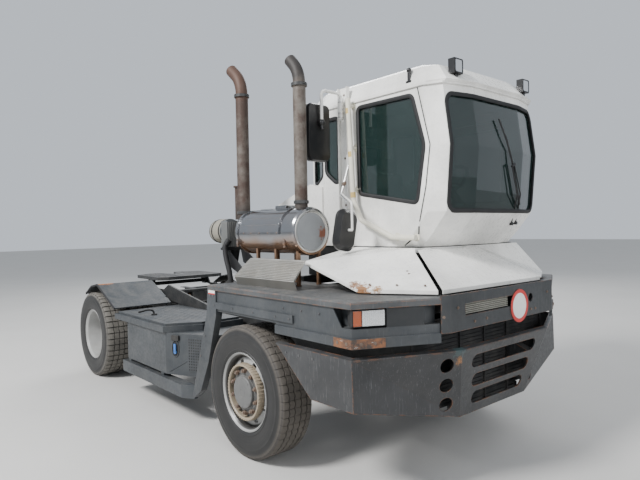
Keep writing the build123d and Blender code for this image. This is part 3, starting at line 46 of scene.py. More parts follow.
# The frame's origin is the middle of the vehicle's outline on the ground. Metres, +X forward, +Y left.
FRONT_AXLE = 1.34
REAR_AXLE = -2.02
WHEELBASE = FRONT_AXLE - REAR_AXLE
HUB_Z = 0.505
SIDES = ((-1, "right"), (1, "left"))

# Camera, solved from the photograph
FRAME_WIDTH = 640
FOCAL_PX = 548.1
SENSOR = 36.0
CAMERA_AT = Vector((FRONT_AXLE + 3.546, -3.50, 1.739))
CAMERA_YAW = math.radians(40.80)
CAMERA_DOWN = math.radians(1.16)
CAMERA_ROLL = math.radians(-1.10)


def add_object(name, data):
    made = bpy.data.objects.new(name, data)
    bpy.context.scene.collection.objects.link(made)
    return made


def make_camera():
    data = bpy.data.cameras.new("photo_camera")
    data.sensor_fit = "HORIZONTAL"
    data.sensor_width = SENSOR
    data.lens = SENSOR * FOCAL_PX / FRAME_WIDTH
    camera = add_object("photo_camera", data)
    ahead = Vector((-math.cos(CAMERA_YAW) * math.cos(CAMERA_DOWN),
                    math.sin(CAMERA_YAW) * math.cos(CAMERA_DOWN), -math.sin(CAMERA_DOWN)))
    level = ahead.cross(Vector((0, 0, 1))).normalized()
    upright = level.cross(ahead)
    right = math.cos(CAMERA_ROLL) * level + math.sin(CAMERA_ROLL) * upright
    up = math.cos(CAMERA_ROLL) * upright - math.sin(CAMERA_ROLL) * level
    camera.matrix_world = Matrix.Translation(CAMERA_AT) @ Matrix((right, up, -ahead)).transposed().to_4x4()
    bpy.context.scene.camera = camera


class Surface:
    """A material, written as a short list of steps."""
    def __init__(self, name):
        self.material = bpy.data.materials.new(name)
        self.material.use_nodes = True
        self.tree = self.material.node_tree
        self.shader = self.tree.nodes["Principled BSDF"]
        self.place = self.node("ShaderNodeTexCoord").outputs["Object"]

    def put(self, socket, value):
        """Links a socket, or sets it. Colours are given by three parts."""
        if hasattr(value, "is_output"):
            self.tree.links.new(value, socket)
        else:
            socket.default_value = (*value, 1.0) if socket.type == "RGBA" else value

    def node(self, kind, sockets=None, **settings):
        made = self.tree.nodes.new(kind)
        for key, value in settings.items():
            setattr(made, key, value)
        for key, value in (sockets or {}).items():
            self.put(made.inputs[key], value)
        return made

    def set(self, **values):
        for key, value in values.items():
            self.put(self.shader.inputs[key.replace("_", " ")], value)

    def scaled(self, *scale):
        return self.node("ShaderNodeMapping", {"Vector": self.place, "Scale": scale}).outputs["Vector"]

    def noise(self, scale, detail, rough=0.55, vector=None, warp=0.0):
        sockets = {"Vector": vector or self.place, "Scale": scale, "Detail": detail, "Roughness": rough,
                   "Distortion": warp}
        return self.node("ShaderNodeTexNoise", sockets).outputs["Fac"]

    def cells(self, scale):
        return self.node("ShaderNodeTexVoronoi", {"Vector": self.place, "Scale": scale}).outputs["Distance"]

    def between(self, value, low, high, bottom=0.0, top=1.0):
        sockets = {"Value": value, "From Min": low, "From Max": high, "To Min": bottom, "To Max": top}
        return self.node("ShaderNodeMapRange", sockets, clamp=True).outputs["Result"]

    def vary(self, noise, bottom, top):
        """The middle of a noise, spread between two values."""
        return self.between(noise, 0.3, 0.7, bottom, top)

    def calc(self, operation, a, b=0.0):
        return self.node("ShaderNodeMath", {0: a, 1: b}, operation=operation).outputs[0]

    def times(self, a, b):
        return self.calc("MULTIPLY", a, b)

    def mix(self, share, a, b):
        made = self.node("ShaderNodeMix", {"Factor": share}, data_type="RGBA", clamp_factor=True)
        for key, value in (("A", a), ("B", b)):
            self.put([s for s in made.inputs if s.name == key and s.type == "RGBA"][0], value)
        return [s for s in made.outputs if s.type == "RGBA"][0]

    def axis(self, name, vector=None):
        return self.node("ShaderNodeSeparateXYZ", {0: vector or self.place}).outputs[name]

    def normal(self):
        return self.node("ShaderNodeNewGeometry").outputs["Normal"]

    def soft_normal(self, radius, samples):
        return self.node("ShaderNodeBevel", {"Radius": radius}, samples=samples).outputs["Normal"]

    def from_line(self, x, z):
        """The distance from a line along Y."""
        across = self.calc("POWER", self.calc("SUBTRACT", self.axis("X"), x), 2.0)
        high = self.calc("POWER", self.calc("SUBTRACT", self.axis("Z"), z), 2.0)
        return self.calc("SQRT", self.calc("ADD", across, high))

    def near(self, spot, radius, ragged):
        """1 round a point of the row frame, with a ragged edge."""
        away = self.node("ShaderNodeVectorMath", {0: self.place, 1: spot}, operation="DISTANCE").outputs["Value"]
        edge = self.vary(self.noise(1.6 / radius, 6.0, 0.7), radius * (1 - ragged), radius * (1 + ragged))
        return self.between(self.calc("SUBTRACT", away, edge), -0.012, 0.012, 1.0, 0.0)

    def edges(self, radius):
        """1 along hard edges, fading over the radius."""
        sockets = {0: self.soft_normal(radius, 6), 1: self.normal()}
        dot = self.node("ShaderNodeVectorMath", sockets, operation="DOT_PRODUCT").outputs["Value"]
        return self.between(dot, 0.88, 0.9856, 1.0, 0.0)

    def bump(self, height, strength, depth, edge_radius=0.0):
        sockets = {"Strength": strength, "Distance": depth, "Height": height}
        if edge_radius:
            sockets["Normal"] = self.soft_normal(edge_radius, 4)
        self.set(Normal=self.node("ShaderNodeBump", sockets).outputs["Normal"])


DUST = (0.24, 0.22, 0.185)
RUST = (0.30, 0.125, 0.050)
RUST_DARK = (0.085, 0.038, 0.020)
ORANGE_RUST = (0.36, 0.165, 0.060)
FENDER_RUST = (0.50, 0.17, 0.035)
# Colour of the painted shade on the front wheel
WHEEL_SHADE = (0.018, 0.016, 0.014)


def paint(name, colour, rough, dust=0.35, wear=0.0, scratch=0.0, grain=0.0, rust=0.0, edge_radius=0.0,
          spots=(), runs=0.0, shade_bands=()):
    """Painted steel: uneven colour, dust on top, scratches, worn or rusty edges, and bands of painted shade round
    the front axle.
    """
    s = Surface(name)
    fine = s.noise(38.0, 5.0, 0.6)
    darker = tuple(c * 0.80 for c in colour)
    lighter = tuple(min(1.0, c * 1.12 + 0.01) for c in colour)
    base = s.mix(s.between(s.noise(2.3, 6.0, 0.6), 0.35, 0.68), darker, lighter)
    dusty = s.times(s.between(s.noise(9.0, 8.0, 0.7), 0.42, 0.72), dust)
    upward = s.axis("Z", s.normal())
    base = s.mix(s.times(dusty, s.between(upward, 0.35, 0.95, 0.35, 1.0)), base, DUST)
    if runs:
        streaks = s.noise(7.0, 5.0, 0.6, vector=s.scaled(5.0, 5.0, 0.35))
        base = s.mix(s.times(s.between(streaks, 0.52, 0.74), runs), base, DUST)
    if scratch:
        lines = s.noise(14.0, 3.0, 0.65, vector=s.scaled(9.0, 9.0, 0.7), warp=0.6)
        mask = s.times(s.between(lines, 0.60, 0.66), scratch)
        base = s.mix(mask, base, tuple(c * 2.0 + 0.08 for c in colour))
    if wear:
        edge = s.times(s.edges(0.012), s.between(s.noise(16.0, 6.0, 0.7), 0.46, 0.56))
        base = s.mix(s.times(edge, wear), base, s.mix(fine, RUST_DARK, RUST))
    if rust:
        patches = s.between(s.noise(5.0, 9.0, 0.72), 0.60, 0.68)
        base = s.mix(s.times(patches, rust), base, s.mix(fine, RUST_DARK, RUST))
    for spot, radius, tint, ragged in spots:
        base = s.mix(s.near(spot, radius, ragged), base, s.mix(fine, tuple(c * 0.6 for c in tint), tint))
    # Bands of painted shade round the front axle
    for inner, full, fading, outer, share in shade_bands:
        radius = s.from_line(FRONT_AXLE, HUB_Z)
        band = s.times(s.between(radius, inner, full), s.between(radius, fading, outer, 1.0, 0.0))
        base = s.mix(s.times(band, share), base, WHEEL_SHADE)
    s.set(Base_Color=base, Roughness=s.vary(fine, rough - 0.07, rough + 0.12))
    s.bump(s.noise(60.0 if grain else 120.0, 3.0, 0.6), 0.10 + grain, 0.0008, edge_radius)
    return s.material


def worn_plate():
    """A plate whose paint is gone: dark and orange rust with bare scratches."""
    s = Surface("rust_plate")
    patch = s.between(s.noise(17.0, 8.0, 0.7), 0.40, 0.60)
    base = s.mix(patch, (0.040, 0.030, 0.024), (0.21, 0.085, 0.035))
    bare = s.between(s.noise(20.0, 5.0, 0.7, vector=s.scaled(1.0, 1.0, 3.0)), 0.60, 0.66)
    s.set(Base_Color=s.mix(s.times(bare, 0.75), base, (0.36, 0.35, 0.33)), Roughness=0.6)
    s.bump(s.noise(60.0, 5.0, 0.7), 0.5, 0.002)
    return s.material


def tyre_rubber(name, axle_x, tread_dust, wall_dust):
    """Dark rubber with faint rings, and dust that thickens from the shoulder over the tread."""
    s = Surface(name)
    radius = s.from_line(axle_x, HUB_Z)
    rings = s.node("ShaderNodeTexNoise", noise_dimensions="1D")
    s.put(rings.inputs["W"], radius)
    s.put(rings.inputs["Scale"], 90.0)
    patchy = s.between(s.noise(7.0, 7.0, 0.65), 0.30, 0.75)
    dusty = s.times(patchy, s.between(rings.outputs["Fac"], 0.35, 0.65, 0.25, 0.60))
    base = s.mix(dusty, (0.009, 0.009, 0.009), wall_dust)
    shoulder = s.times(s.between(radius, 0.462, 0.487), s.between(patchy, 0.0, 1.0, 0.55, 0.95))
    base = s.mix(shoulder, base, tread_dust)
    deep = s.times(s.between(radius, 0.4925, 0.5035, 1.0, 0.0), s.between(radius, 0.484, 0.490))
    base = s.mix(s.times(deep, 0.75), base, (0.035, 0.032, 0.030))
    s.set(Base_Color=base, Roughness=s.between(shoulder, 0.0, 0.8, 0.55, 0.88))
    s.bump(s.noise(160.0, 3.0, 0.6), 0.25, 0.001)
    return s.material


def rubber():
    s = Surface("rubber")
    dust = s.between(s.noise(7.0, 7.0, 0.65), 0.40, 0.75, 0.0, 0.20)
    s.set(Base_Color=s.mix(dust, (0.005, 0.005, 0.006), (0.05, 0.047, 0.044)), Roughness=0.65)
    s.bump(s.noise(160.0, 3.0, 0.6), 0.20, 0.0006)
    return s.material


def bright_metal(name, colour, rough, tint=(0.36, 0.24, 0.12), tinted=0.0, low=None, edge_radius=0.0, dents=0.0):
    """Bare metal, with a stain in patches or below a height."""
    s = Surface(name)
    stain = s.times(s.between(s.noise(4.0, 8.0, 0.65), 0.45, 0.7), tinted)
    if low:
        height = s.calc("ADD", s.axis("Z"), s.vary(s.noise(3.0, 2.0), -0.04, 0.04))
        stain = s.calc("MAXIMUM", stain, s.between(height, low - 0.06, low + 0.03, 0.80, 0.0))
    s.set(Base_Color=s.mix(stain, colour, tint), Metallic=s.between(stain, 0.0, 1.0, 1.0, 0.55),
          Roughness=s.vary(s.noise(9.0, 4.0, 0.6), rough, rough + 0.12))
    if dents:
        s.bump(s.noise(7.0, 3.0, 0.5), dents, 0.02, edge_radius)
    else:
        s.bump(s.noise(9.0, 2.0, 0.5), 0.03, 0.002, edge_radius)
    return s.material


def rusty_pipe():
    """Two stacks with rust in patches, more of it on the rear one, and dark at their feet."""
    s = Surface("rusty_pipe")
    rear_one = s.between(s.axis("X"), 0.95, 1.20, 0.14, 0.0)
    patch = s.between(s.calc("ADD", s.noise(5.0, 9.0, 0.7), rear_one), 0.42, 0.66)
    rusty = (0.070, 0.042, 0.031)
    rusty = s.mix(s.noise(60.0, 5.0, 0.7), tuple(c * 0.55 for c in rusty), rusty)
    base = s.mix(patch, (0.150, 0.134, 0.116), rusty)
    foot = s.between(s.axis("Z"), 1.93, 2.00, 1.0, 0.0)
    base = s.mix(s.times(foot, 0.75), base, (0.035, 0.028, 0.024))
    # The elbows above the clamps: sooty on the front stack, rusty on the rear one
    elbow = s.times(s.between(s.axis("Z"), 2.885, 2.945), s.between(s.noise(7.0, 5.0), 0.30, 0.50, 0.55, 1.0))
    base = s.mix(elbow, base, s.mix(rear_one, (0.030, 0.026, 0.024), (0.34, 0.12, 0.04)))
    s.set(Base_Color=base, Metallic=0.25, Roughness=0.62)
    s.bump(s.noise(90.0, 5.0, 0.7), 0.3, 0.001)
    return s.material


def tinted_glass():
    s = Surface("tinted_glass")
    smear = s.noise(3.0, 6.0, 0.6)
    colour = s.mix(s.between(smear, 0.42, 0.80, 0.0, 0.30), (0.007, 0.020, 0.018), (0.045, 0.065, 0.062))
    s.set(Base_Color=colour, Roughness=s.between(smear, 0.3, 0.8, 0.02, 0.07), Alpha=0.70,
          Coat_Weight=1.0, Coat_Roughness=0.02)
    return s.material


def lens(name, colour, clear=0.10):
    s = Surface(name)
    s.set(Base_Color=colour, Roughness=0.08, Alpha=1.0 - clear, Coat_Weight=1.0)
    s.bump(s.noise(90.0, 2.0), 0.05, 0.0005)
    return s.material


def plastic(name, colour, rough=0.5, dusty_share=0.35, pores=0.12):
    s = Surface(name)
    dusty = s.between(s.noise(8.0, 7.0, 0.65), 0.45, 0.75, 0.0, dusty_share)
    s.set(Base_Color=s.mix(dusty, colour, DUST), Roughness=rough)
    s.bump(s.cells(420.0), pores, 0.0006, 0.002)
    return s.material


def intake_plastic():
    """Beige canister, grey box before it, and black below them."""
    s = Surface("beige_plastic")
    fine = s.noise(30.0, 5.0, 0.6)
    beige = s.mix(s.between(s.noise(8.0, 7.0, 0.65), 0.45, 0.75, 0.0, 0.35), (0.235, 0.218, 0.175), DUST)
    before = s.between(s.axis("X"), FRONT_AXLE - 0.942, FRONT_AXLE - 0.938)
    base = s.mix(before, beige, (0.115, 0.122, 0.126))
    base = s.mix(s.between(s.axis("Z"), 1.588, 1.592, 1.0, 0.0), base, (0.010, 0.010, 0.011))
    s.set(Base_Color=base, Roughness=s.vary(fine, 0.38, 0.52))
    s.bump(fine, 0.05, 0.0006, 0.002)
    return s.material


def fabric():
    s = Surface("seat_fabric")
    weave = s.cells(520.0)
    s.set(Base_Color=s.mix(weave, (0.030, 0.031, 0.034), (0.075, 0.077, 0.082)), Roughness=0.92, Sheen_Weight=0.3)
    s.bump(weave, 0.4, 0.001)
    return s.material


def at(x, y, z):
    """A point given from the front axle."""
    return Vector((FRONT_AXLE + x, y, z))


# Worn spots: (place, radius, tint, raggedness)
BUMPER_SPOTS = [
    (at(1.480, -0.560, 0.955), 0.050, (0.055, 0.085, 0.088), 0.9),
    (at(1.490, -0.556, 0.860), 0.022, ORANGE_RUST, 0.9), (at(1.495, -0.560, 0.880), 0.020, ORANGE_RUST, 0.9),
]
WHITE_SPOTS = [
    (at(0.960, -0.910, 1.335), 0.055, (0.34, 0.17, 0.08), 0.9),
    (at(0.880, -0.900, 1.360), 0.030, (0.30, 0.16, 0.09), 0.9),
    (at(1.050, -0.850, 1.335), 0.030, (0.40, 0.22, 0.10), 0.9),
    (at(0.300, -0.330, 1.560), 0.020, (0.40, 0.24, 0.12), 0.9),
]
FENDER_SPOTS = [
    (at(0.188 - WHEELBASE, y, 1.126), radius, FENDER_RUST, 0.8)
    for y, radius in ((-1.215, 0.020), (-1.170, 0.026), (-1.120, 0.024), (-1.075, 0.018))
]
CAP_SPOTS = [(at(0.262, -0.622, 1.705), 0.045, (0.28, 0.085, 0.040), 0.7)]
# Painted shade on the front wheel round its axle, in the groove inside the rim's lip and round the nuts: (inner
# radius, full from, fading from, outer radius, share)
RIM_SHADE_BANDS = [(0.250, 0.262, 0.281, 0.286, 0.92), (0.118, 0.130, 0.186, 0.198, 0.80)]
ADDED_PAINTS = {
    # look: (colour, roughness, dust, rust)
    "rusty_ring": ((0.30, 0.245, 0.175), 0.50, 0.3, 0.9),
    "rusty_nuts": ((0.135, 0.090, 0.065), 0.45, 0.4, 0.3),
    "sign_white": ((0.78, 0.78, 0.76), 0.35, 0.15, 0.0),
    "sign_red": ((0.52, 0.025, 0.020), 0.35, 0.10, 0.0),
    "fin_cream": ((0.25, 0.245, 0.21), 0.45, 0.3, 0.0),
    "yellowed": ((0.56, 0.40, 0.13), 0.45, 0.2, 0.0),
    "dark_panel": ((0.008, 0.010, 0.012), 0.35, 0.08, 0.0),
    "dull_bolt": ((0.06, 0.06, 0.063), 0.5, 0.4, 0.3),
    "valve_blue": ((0.04, 0.14, 0.40), 0.4, 0.3, 0.0),
    "worn_tread": ((0.11, 0.113, 0.117), 0.45, 0.4, 0.0),
}


def make_materials():
    """A look for every slot of the record, and those of the added pieces."""
    made = {
        "chassis": paint("chassis_black", (0.013, 0.014, 0.015), 0.5, grain=0.1, edge_radius=0.003),
        "bumper_steel": paint("bumper_grey", (0.022, 0.023, 0.025), 0.36, dust=0.12, wear=0.9, scratch=0.5,
                              edge_radius=0.004, spots=BUMPER_SPOTS),
        "black_paint": paint("fascia_grey", (0.021, 0.024, 0.027), 0.36, dust=0.10, wear=0.6, scratch=0.12,
                             edge_radius=0.003, runs=0.10),
        "deck_steel": paint("deck_grey", (0.046, 0.049, 0.052), 0.5, wear=1.0, scratch=0.3, edge_radius=0.003),
        "white_paint": paint("cab_white", (0.80, 0.79, 0.755), 0.28, dust=0.08, edge_radius=0.006,
                             spots=WHITE_SPOTS, runs=0.08),
        "cream_paint": paint("rail_cream", (0.72, 0.69, 0.58), 0.36, dust=0.15, edge_radius=0.002),
        "tyre_front": tyre_rubber("tyre_front", FRONT_AXLE, (0.112, 0.098, 0.083), (0.034, 0.032, 0.030)),
        "tyre_rear": tyre_rubber("tyre_rear", REAR_AXLE, (0.180, 0.168, 0.147), (0.050, 0.047, 0.043)),
        "rim_grey": paint("rim_grey", (0.33, 0.33, 0.32), 0.36, dust=0.4, rust=0.15, edge_radius=0.004,
                          shade_bands=RIM_SHADE_BANDS),
        "engine": paint("engine_black", (0.014, 0.014, 0.014), 0.6, dust=0.4),
        "fender_grey": paint("fender_charcoal", (0.032, 0.037, 0.042), 0.42, dust=0.25, scratch=0.15, grain=0.12,
                             edge_radius=0.003, spots=FENDER_SPOTS),
        "chrome": bright_metal("muffler_chrome", (0.30, 0.31, 0.325), 0.13, tint=(0.27, 0.13, 0.05), tinted=0.15,
                               low=1.665, edge_radius=0.003),
        "rusty_pipe": rusty_pipe(),
        "beige_plastic": intake_plastic(),
        "aluminium": bright_metal("aluminium", (0.46, 0.445, 0.41), 0.36, tinted=0.15, edge_radius=0.002,
                                  dents=0.25),
        "glass": tinted_glass(),
        "seat_fabric": fabric(),
        "dark_plastic": plastic("dark_plastic", (0.009, 0.009, 0.010), 0.30, 0.05, 0.03),
        "boom_steel": paint("boom_dark", (0.018, 0.019, 0.020), 0.5, scratch=0.2, edge_radius=0.003),
        "lamp": plastic("lamp_body", (0.030, 0.030, 0.031), 0.35, 0.15),
        "rubber": rubber(),
        "hub_cap": paint("hub_cap", (0.115, 0.115, 0.113), 0.40, dust=0.3, edge_radius=0.002),
        "cap_grey": paint("cap_grey", (0.25, 0.26, 0.27), 0.36, dust=0.15, spots=CAP_SPOTS),
        # Flat black for black parts, and painted shade in holes, slots, a recess and under the front mesh
        "black_and_shade": plastic("black_and_shade", (0.008, 0.008, 0.009), 0.6, 0.15),
        "box_grey": plastic("box_grey", (0.20, 0.20, 0.19)),
        "rust_plate": worn_plate(),
        "amber_lens": lens("amber_lens", (0.40, 0.070, 0.006)),
        "red_lens": lens("red_lens", (0.45, 0.008, 0.008)),
        "clear_red": lens("clear_red", (0.62, 0.10, 0.08)),
        "clear_lens": lens("clear_lens", (0.75, 0.77, 0.78), 0.72),
        "reflector": bright_metal("reflector", (0.78, 0.79, 0.80), 0.10),
        "mirror_glass": bright_metal("mirror_glass", (0.82, 0.85, 0.86), 0.02),
        "silver_bolt": bright_metal("silver_bolt", (0.62, 0.62, 0.61), 0.25, tinted=0.2),
    }
    for name, (colour, rough, dust, rust) in ADDED_PAINTS.items():
        made[name] = paint(name, colour, rough, dust=dust, rust=rust)
    made["tyre"] = made["rubber"]
    return made


FLOOR_HALF = 60.0
LIGHTS = [
    # (name, place, aim, size, power)
    ("key_light", (0.5, -9.5, 9.5), (0.6, 0, 1.2), 3.0, 2500.0),
    ("front_light", (12.0, -2.0, 5.0), (1.5, 0, 1.2), 6.0, 480.0),
    ("far_light", (-7.0, 8.0, 8.0), (0, 0, 1.2), 7.0, 900.0),
]


def make_stage():
    mesh = bpy.data.meshes.new("floor")
    a = FLOOR_HALF
    mesh.from_pydata([(-a, -a, 0), (a, -a, 0), (a, a, 0), (-a, a, 0)], [], [(0, 1, 2, 3)])
    floor = add_object("floor", mesh)
    s = Surface("floor_pale")
    s.set(Base_Color=s.mix(s.noise(0.8, 3.0), (0.50, 0.49, 0.47), (0.56, 0.55, 0.53)), Roughness=0.9)
    s.bump(s.noise(70.0, 6.0, 0.7), 0.35, 0.01)
    mesh.materials.append(s.material)
    world = bpy.data.worlds.new("studio")
    world.use_nodes = True
    background = world.node_tree.nodes["Background"].inputs
    background["Color"].default_value = (0.82, 0.88, 0.96, 1.0)
    background["Strength"].default_value = 0.80
    bpy.context.scene.world = world
    for name, place, aim, size, power in LIGHTS:
        data = bpy.data.lights.new(name, "AREA")
        data.shape = "DISK"
        data.size = size
        data.energy = power
        light = add_object(name, data)
        light.location = place
        light.rotation_mode = "QUATERNION"
        light.rotation_quaternion = (Vector(aim) - Vector(place)).to_track_quat("-Z", "Y")


def dress_nodes():
    slots = {row["node"]: row["material_slot"] for row in frame["record"]["subparts"]}
    for name, node in NODES.items():
        node.data.materials.clear()
        node.data.materials.append(MATERIALS[slots[name]])


AHEAD = Vector((1, 0, 0))
UP = Vector((0, 0, 1))
# Points closer than this are one, and edges sharper than this angle are softened
WELD = 0.00002
SOFTEN_FROM = math.radians(40)
BAND_SLOPE = 0.002
CORNER_STEPS = 6


def circle(count, shift=0.0):
    """Directions round a full turn, as (cosine, sine) pairs."""
    return [(math.cos(a), math.sin(a)) for a in (2 * math.pi * (k + shift) / count for k in range(count))]


def spokes(count, shift=0.0):
    """Directions round an axle that runs along Y."""
    return [Vector((c, 0, s)) for c, s in circle(count, shift)]


def washer(inner, outer, low, high):
    """A lathe profile with square edges."""
    return [(inner, low), (inner, high), (outer, high), (outer, low)]


def band(inner, outer, along, half):
    """A lathe profile with slanted sides."""
    low, high = along - half, along + half
    return [(inner, low), (outer, low + BAND_SLOPE), (outer, high - BAND_SLOPE), (inner, high)]


def square(u0, u1, v0, v1):
    return [(u0, v0), (u1, v0), (u1, v1), (u0, v1)]


class Shape:
    """A mesh that grows by simple closed forms. Each form returns the shape, so that calls can be chained."""
    def __init__(self):
        self.mesh = bmesh.new()

    def blocks(self, *boxes):
        """Blocks by their bounds, with X from the front axle."""
        for x0, x1, y0, y1, z0, z1 in boxes:
            middle = Matrix.Translation(at((x0 + x1) / 2, (y0 + y1) / 2, (z0 + z1) / 2))
            size = Matrix.Diagonal((abs(x1 - x0), abs(y1 - y0), abs(z1 - z0), 1.0))
            bmesh.ops.create_cube(self.mesh, size=1.0, matrix=middle @ size)
        return self

    def rod(self, start, end, radius, sides, tip=None):
        start, end = Vector(start), Vector(end)
        axis = end - start
        place = Matrix.Translation((start + end) / 2) @ axis.to_track_quat("Z", "Y").to_matrix().to_4x4()
        bmesh.ops.create_cone(self.mesh, cap_ends=True, segments=sides, radius1=radius,
                              radius2=radius if tip is None else tip, depth=axis.length, matrix=place)
        return self

    def studs(self, foot, out, *steps):
        """Short rods one on the other: (from, to, radius, sides) along a direction."""
        for start, end, radius, sides in steps:
            self.rod(foot + out * start, foot + out * end, radius, sides)
        return self

    def bolt(self, foot, out, size, high):
        """A hexagon head on a washer, standing out of a surface."""
        out = Vector(out).normalized()
        return self.studs(foot, out, (-0.002, 0.002, size * 0.95, 14), (0.0, high, size * 0.62, 6))

    def ball(self, middle, radius, sides):
        bmesh.ops.create_uvsphere(self.mesh, u_segments=sides, v_segments=sides // 2, radius=radius,
                                  matrix=Matrix.Translation(middle))
        return self

    def rings(self, loops, close=False):
        """Bridges closed rings of points one after the other, with caps or as a closed chain."""
        rows = [[self.mesh.verts.new(point) for point in loop] for loop in loops]
        for a, b in zip(rows, rows[1:] + rows[:1] if close else rows[1:]):
            for i in range(len(a)):
                j = (i + 1) % len(a)
                self.mesh.faces.new((a[i], a[j], b[j], b[i]))
        if not close:
            self.mesh.faces.new(rows[0][::-1])
            self.mesh.faces.new(rows[-1])
        return self

    def stack(self, place, *rows, close=False):
        """Rings from plane outlines, each with the level that the place function takes."""
        return self.rings([[place(level, *point) for point in outline] for level, outline in rows], close)

    def lathe(self, profile, origin, axis, sides):
        """A closed profile of (radius, distance along the axis) points, turned round."""
        origin, axis = Vector(origin), Vector(axis).normalized()
        across = axis.orthogonal().normalized()
        third = axis.cross(across)
        hoops = [hoop(origin + axis * along, across, third, radius, sides) for radius, along in profile]
        return self.rings(hoops, close=True)

    def plate(self, outline, thickness):
        """A flat polygon in space, made thick along a vector."""
        step = Vector(thickness)
        return self.rings([outline, [point + step for point in outline]])

    def tube(self, points, radius, sides):
        """A round bar through points, with steady frames."""
        ways = [(b - a).normalized() for a, b in neighbours(points)]
        across = ways[0].orthogonal().normalized()
        loops = []
        for point, way in zip(points, ways):
            across = (across - way * across.dot(way)).normalized()
            loops.append(hoop(point, across, way.cross(across), radius, sides))
        return self.rings(loops)

    def bead(self, outline, place, corner):
        """A window's seal round a closed outline on a skin."""
        middle = divided(rounded(outline, corner), SKIN_STEP)
        sign = turning(middle)
        ways = [normal(a, b, sign) for a, b in zip(middle[-1:] + middle[:-1], middle[1:] + middle[:1])]
        return self.rings([[place(u + nu * out, v + nv * out, lift) for (u, v), (nu, nv) in zip(middle, ways)]
                           for out, lift in BEAD_SECTION], close=True)

    def strip(self, points, place, half_width, low, high):
        """A flat strip along an open line on a skin."""
        section = [(-half_width, low), (-half_width, high), (half_width, high), (half_width, low)]
        ways = [normal(a, b, -1.0) for a, b in neighbours(points)]
        return self.rings([[place(u + nu * w, v + nv * w, lift) for w, lift in section]
                           for (u, v), (nu, nv) in zip(points, ways)])

    def done(self, name, slot, look, body="chassis", bevel=0.0, smooth=30.0):
        bmesh.ops.remove_doubles(self.mesh, verts=self.mesh.verts, dist=WELD)
        bmesh.ops.recalc_face_normals(self.mesh, faces=self.mesh.faces)
        mesh = bpy.data.meshes.new(name)
        self.mesh.to_mesh(mesh)
        self.mesh.free()
        piece = add_object(name, mesh)
        mesh.materials.append(MATERIALS[look])
        mesh.polygons.foreach_set("use_smooth", [True] * len(mesh.polygons))
        mesh.set_sharp_from_angle(angle=math.radians(smooth))
        if bevel:
            cut = piece.modifiers.new("soft_edges", "BEVEL")
            cut.width = bevel
            cut.segments = 2
            cut.limit_method = "ANGLE"
            cut.angle_limit = SOFTEN_FROM
            cut.harden_normals = True
        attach(piece, body)
        return piece


SKIN_STEP = 0.05
# A seal's section: (distance outward, lift)
BEAD_SECTION = [(-0.016, -0.012), (-0.018, 0.003), (-0.006, 0.008), (0.010, 0.006), (0.014, 0.001),
                (0.008, -0.008)]


def hoop(middle, across, third, radius, sides):
    return [middle + (across * c + third * s) * radius for c, s in circle(sides)]


def neighbours(points):
    """The points before and after each point of an open line, which stays its own neighbour at an end."""
    return zip(points[:1] + points[:-1], points[1:] + points[-1:])


def smoothed(points, steps=6):
    """A Catmull-Rom path through given points."""
    ends = [points[0] * 2 - points[1]] + points + [points[-1] * 2 - points[-2]]
    path = []
    for a, b, c, d in zip(ends, ends[1:], ends[2:], ends[3:]):
        for k in range(steps):
            t = k / steps
            path.append(0.5 * (2 * b + (c - a) * t + (2 * a - 5 * b + 4 * c - d) * t * t
                               + (3 * b - a - 3 * c + d) * t ** 3))
    return path + [points[-1]]


def turning(outline):
    """1 for a closed plane outline that runs anticlockwise, otherwise -1."""
    area = sum(a[0] * b[1] - b[0] * a[1] for a, b in zip(outline[-1:] + outline[:-1], outline))
    return 1.0 if area > 0 else -1.0


def normal(a, b, sign):
    """The unit normal of a plane line from a to b, on the side of the sign."""
    length = math.hypot(b[0] - a[0], b[1] - a[1])
    return sign * (b[1] - a[1]) / length, sign * (a[0] - b[0]) / length


def grown(outline, distance):
    """A closed plane outline moved outward by a distance, with mitred corners."""
    sign = turning(outline)
    normals = [normal(a, b, sign) for a, b in zip(outline, outline[1:] + outline[:1])]
    moved = []
    for (u, v), before, after in zip(outline, normals[-1:] + normals[:-1], normals):
        reach = distance / (1 + before[0] * after[0] + before[1] * after[1])
        moved.append((u + reach * (before[0] + after[0]), v + reach * (before[1] + after[1])))
    return moved


def rounded(outline, radius):
    """A closed plane outline with each corner cut by a smooth curve."""
    loop = []
    corners = [Vector(corner) for corner in outline]
    for before, corner, after in zip(corners[-1:] + corners[:-1], corners, corners[1:] + corners[:1]):
        back, ahead = before - corner, after - corner
        cut = min(radius, back.length * 0.45, ahead.length * 0.45)
        start, end = corner + back.normalized() * cut, corner + ahead.normalized() * cut
        for k in range(CORNER_STEPS + 1):
            t = k / CORNER_STEPS
            loop.append(tuple(start * (1 - t) ** 2 + corner * 2 * t * (1 - t) + end * t * t))
    return loop


def divided(points, step, closed=True):
    """A plane line with its runs cut into steps, so that it can follow a curved skin."""
    line = []
    for a, b in zip(points, points[1:] + points[:1] if closed else points[1:]):
        count = max(1, int(math.hypot(b[0] - a[0], b[1] - a[1]) / step))
        line += [(a[0] + (b[0] - a[0]) * k / count, a[1] + (b[1] - a[1]) * k / count) for k in range(count)]
    return line if closed else line + [points[-1]]


# Forms of the cab's skin, as its panels run. The front and side panels draw in over their outer ends.
CAB_RIGHT = -0.290
CAB_LEFT = 1.030
CAB_REAR = -0.400
CAB_CORNER = FRONT_AXLE - 0.100
FRONT_FACE = 1.060
SIDE_END = 0.930
DRAWN_IN = 0.060
# (height, how far the front stands forward)
CAB_LEVELS = [(1.590, -0.128), (1.690, -0.030), (1.850, 0.100), (2.330, 0.140), (2.768, 0.080)]


def stand(z):
    """How far the cab's front stands forward at a height."""
    for (z0, f0), (z1, f1) in zip(CAB_LEVELS, CAB_LEVELS[1:]):
        if z <= z1:
            return f0 + (f1 - f0) * (z - z0) / (z1 - z0)
    return CAB_LEVELS[-1][1]


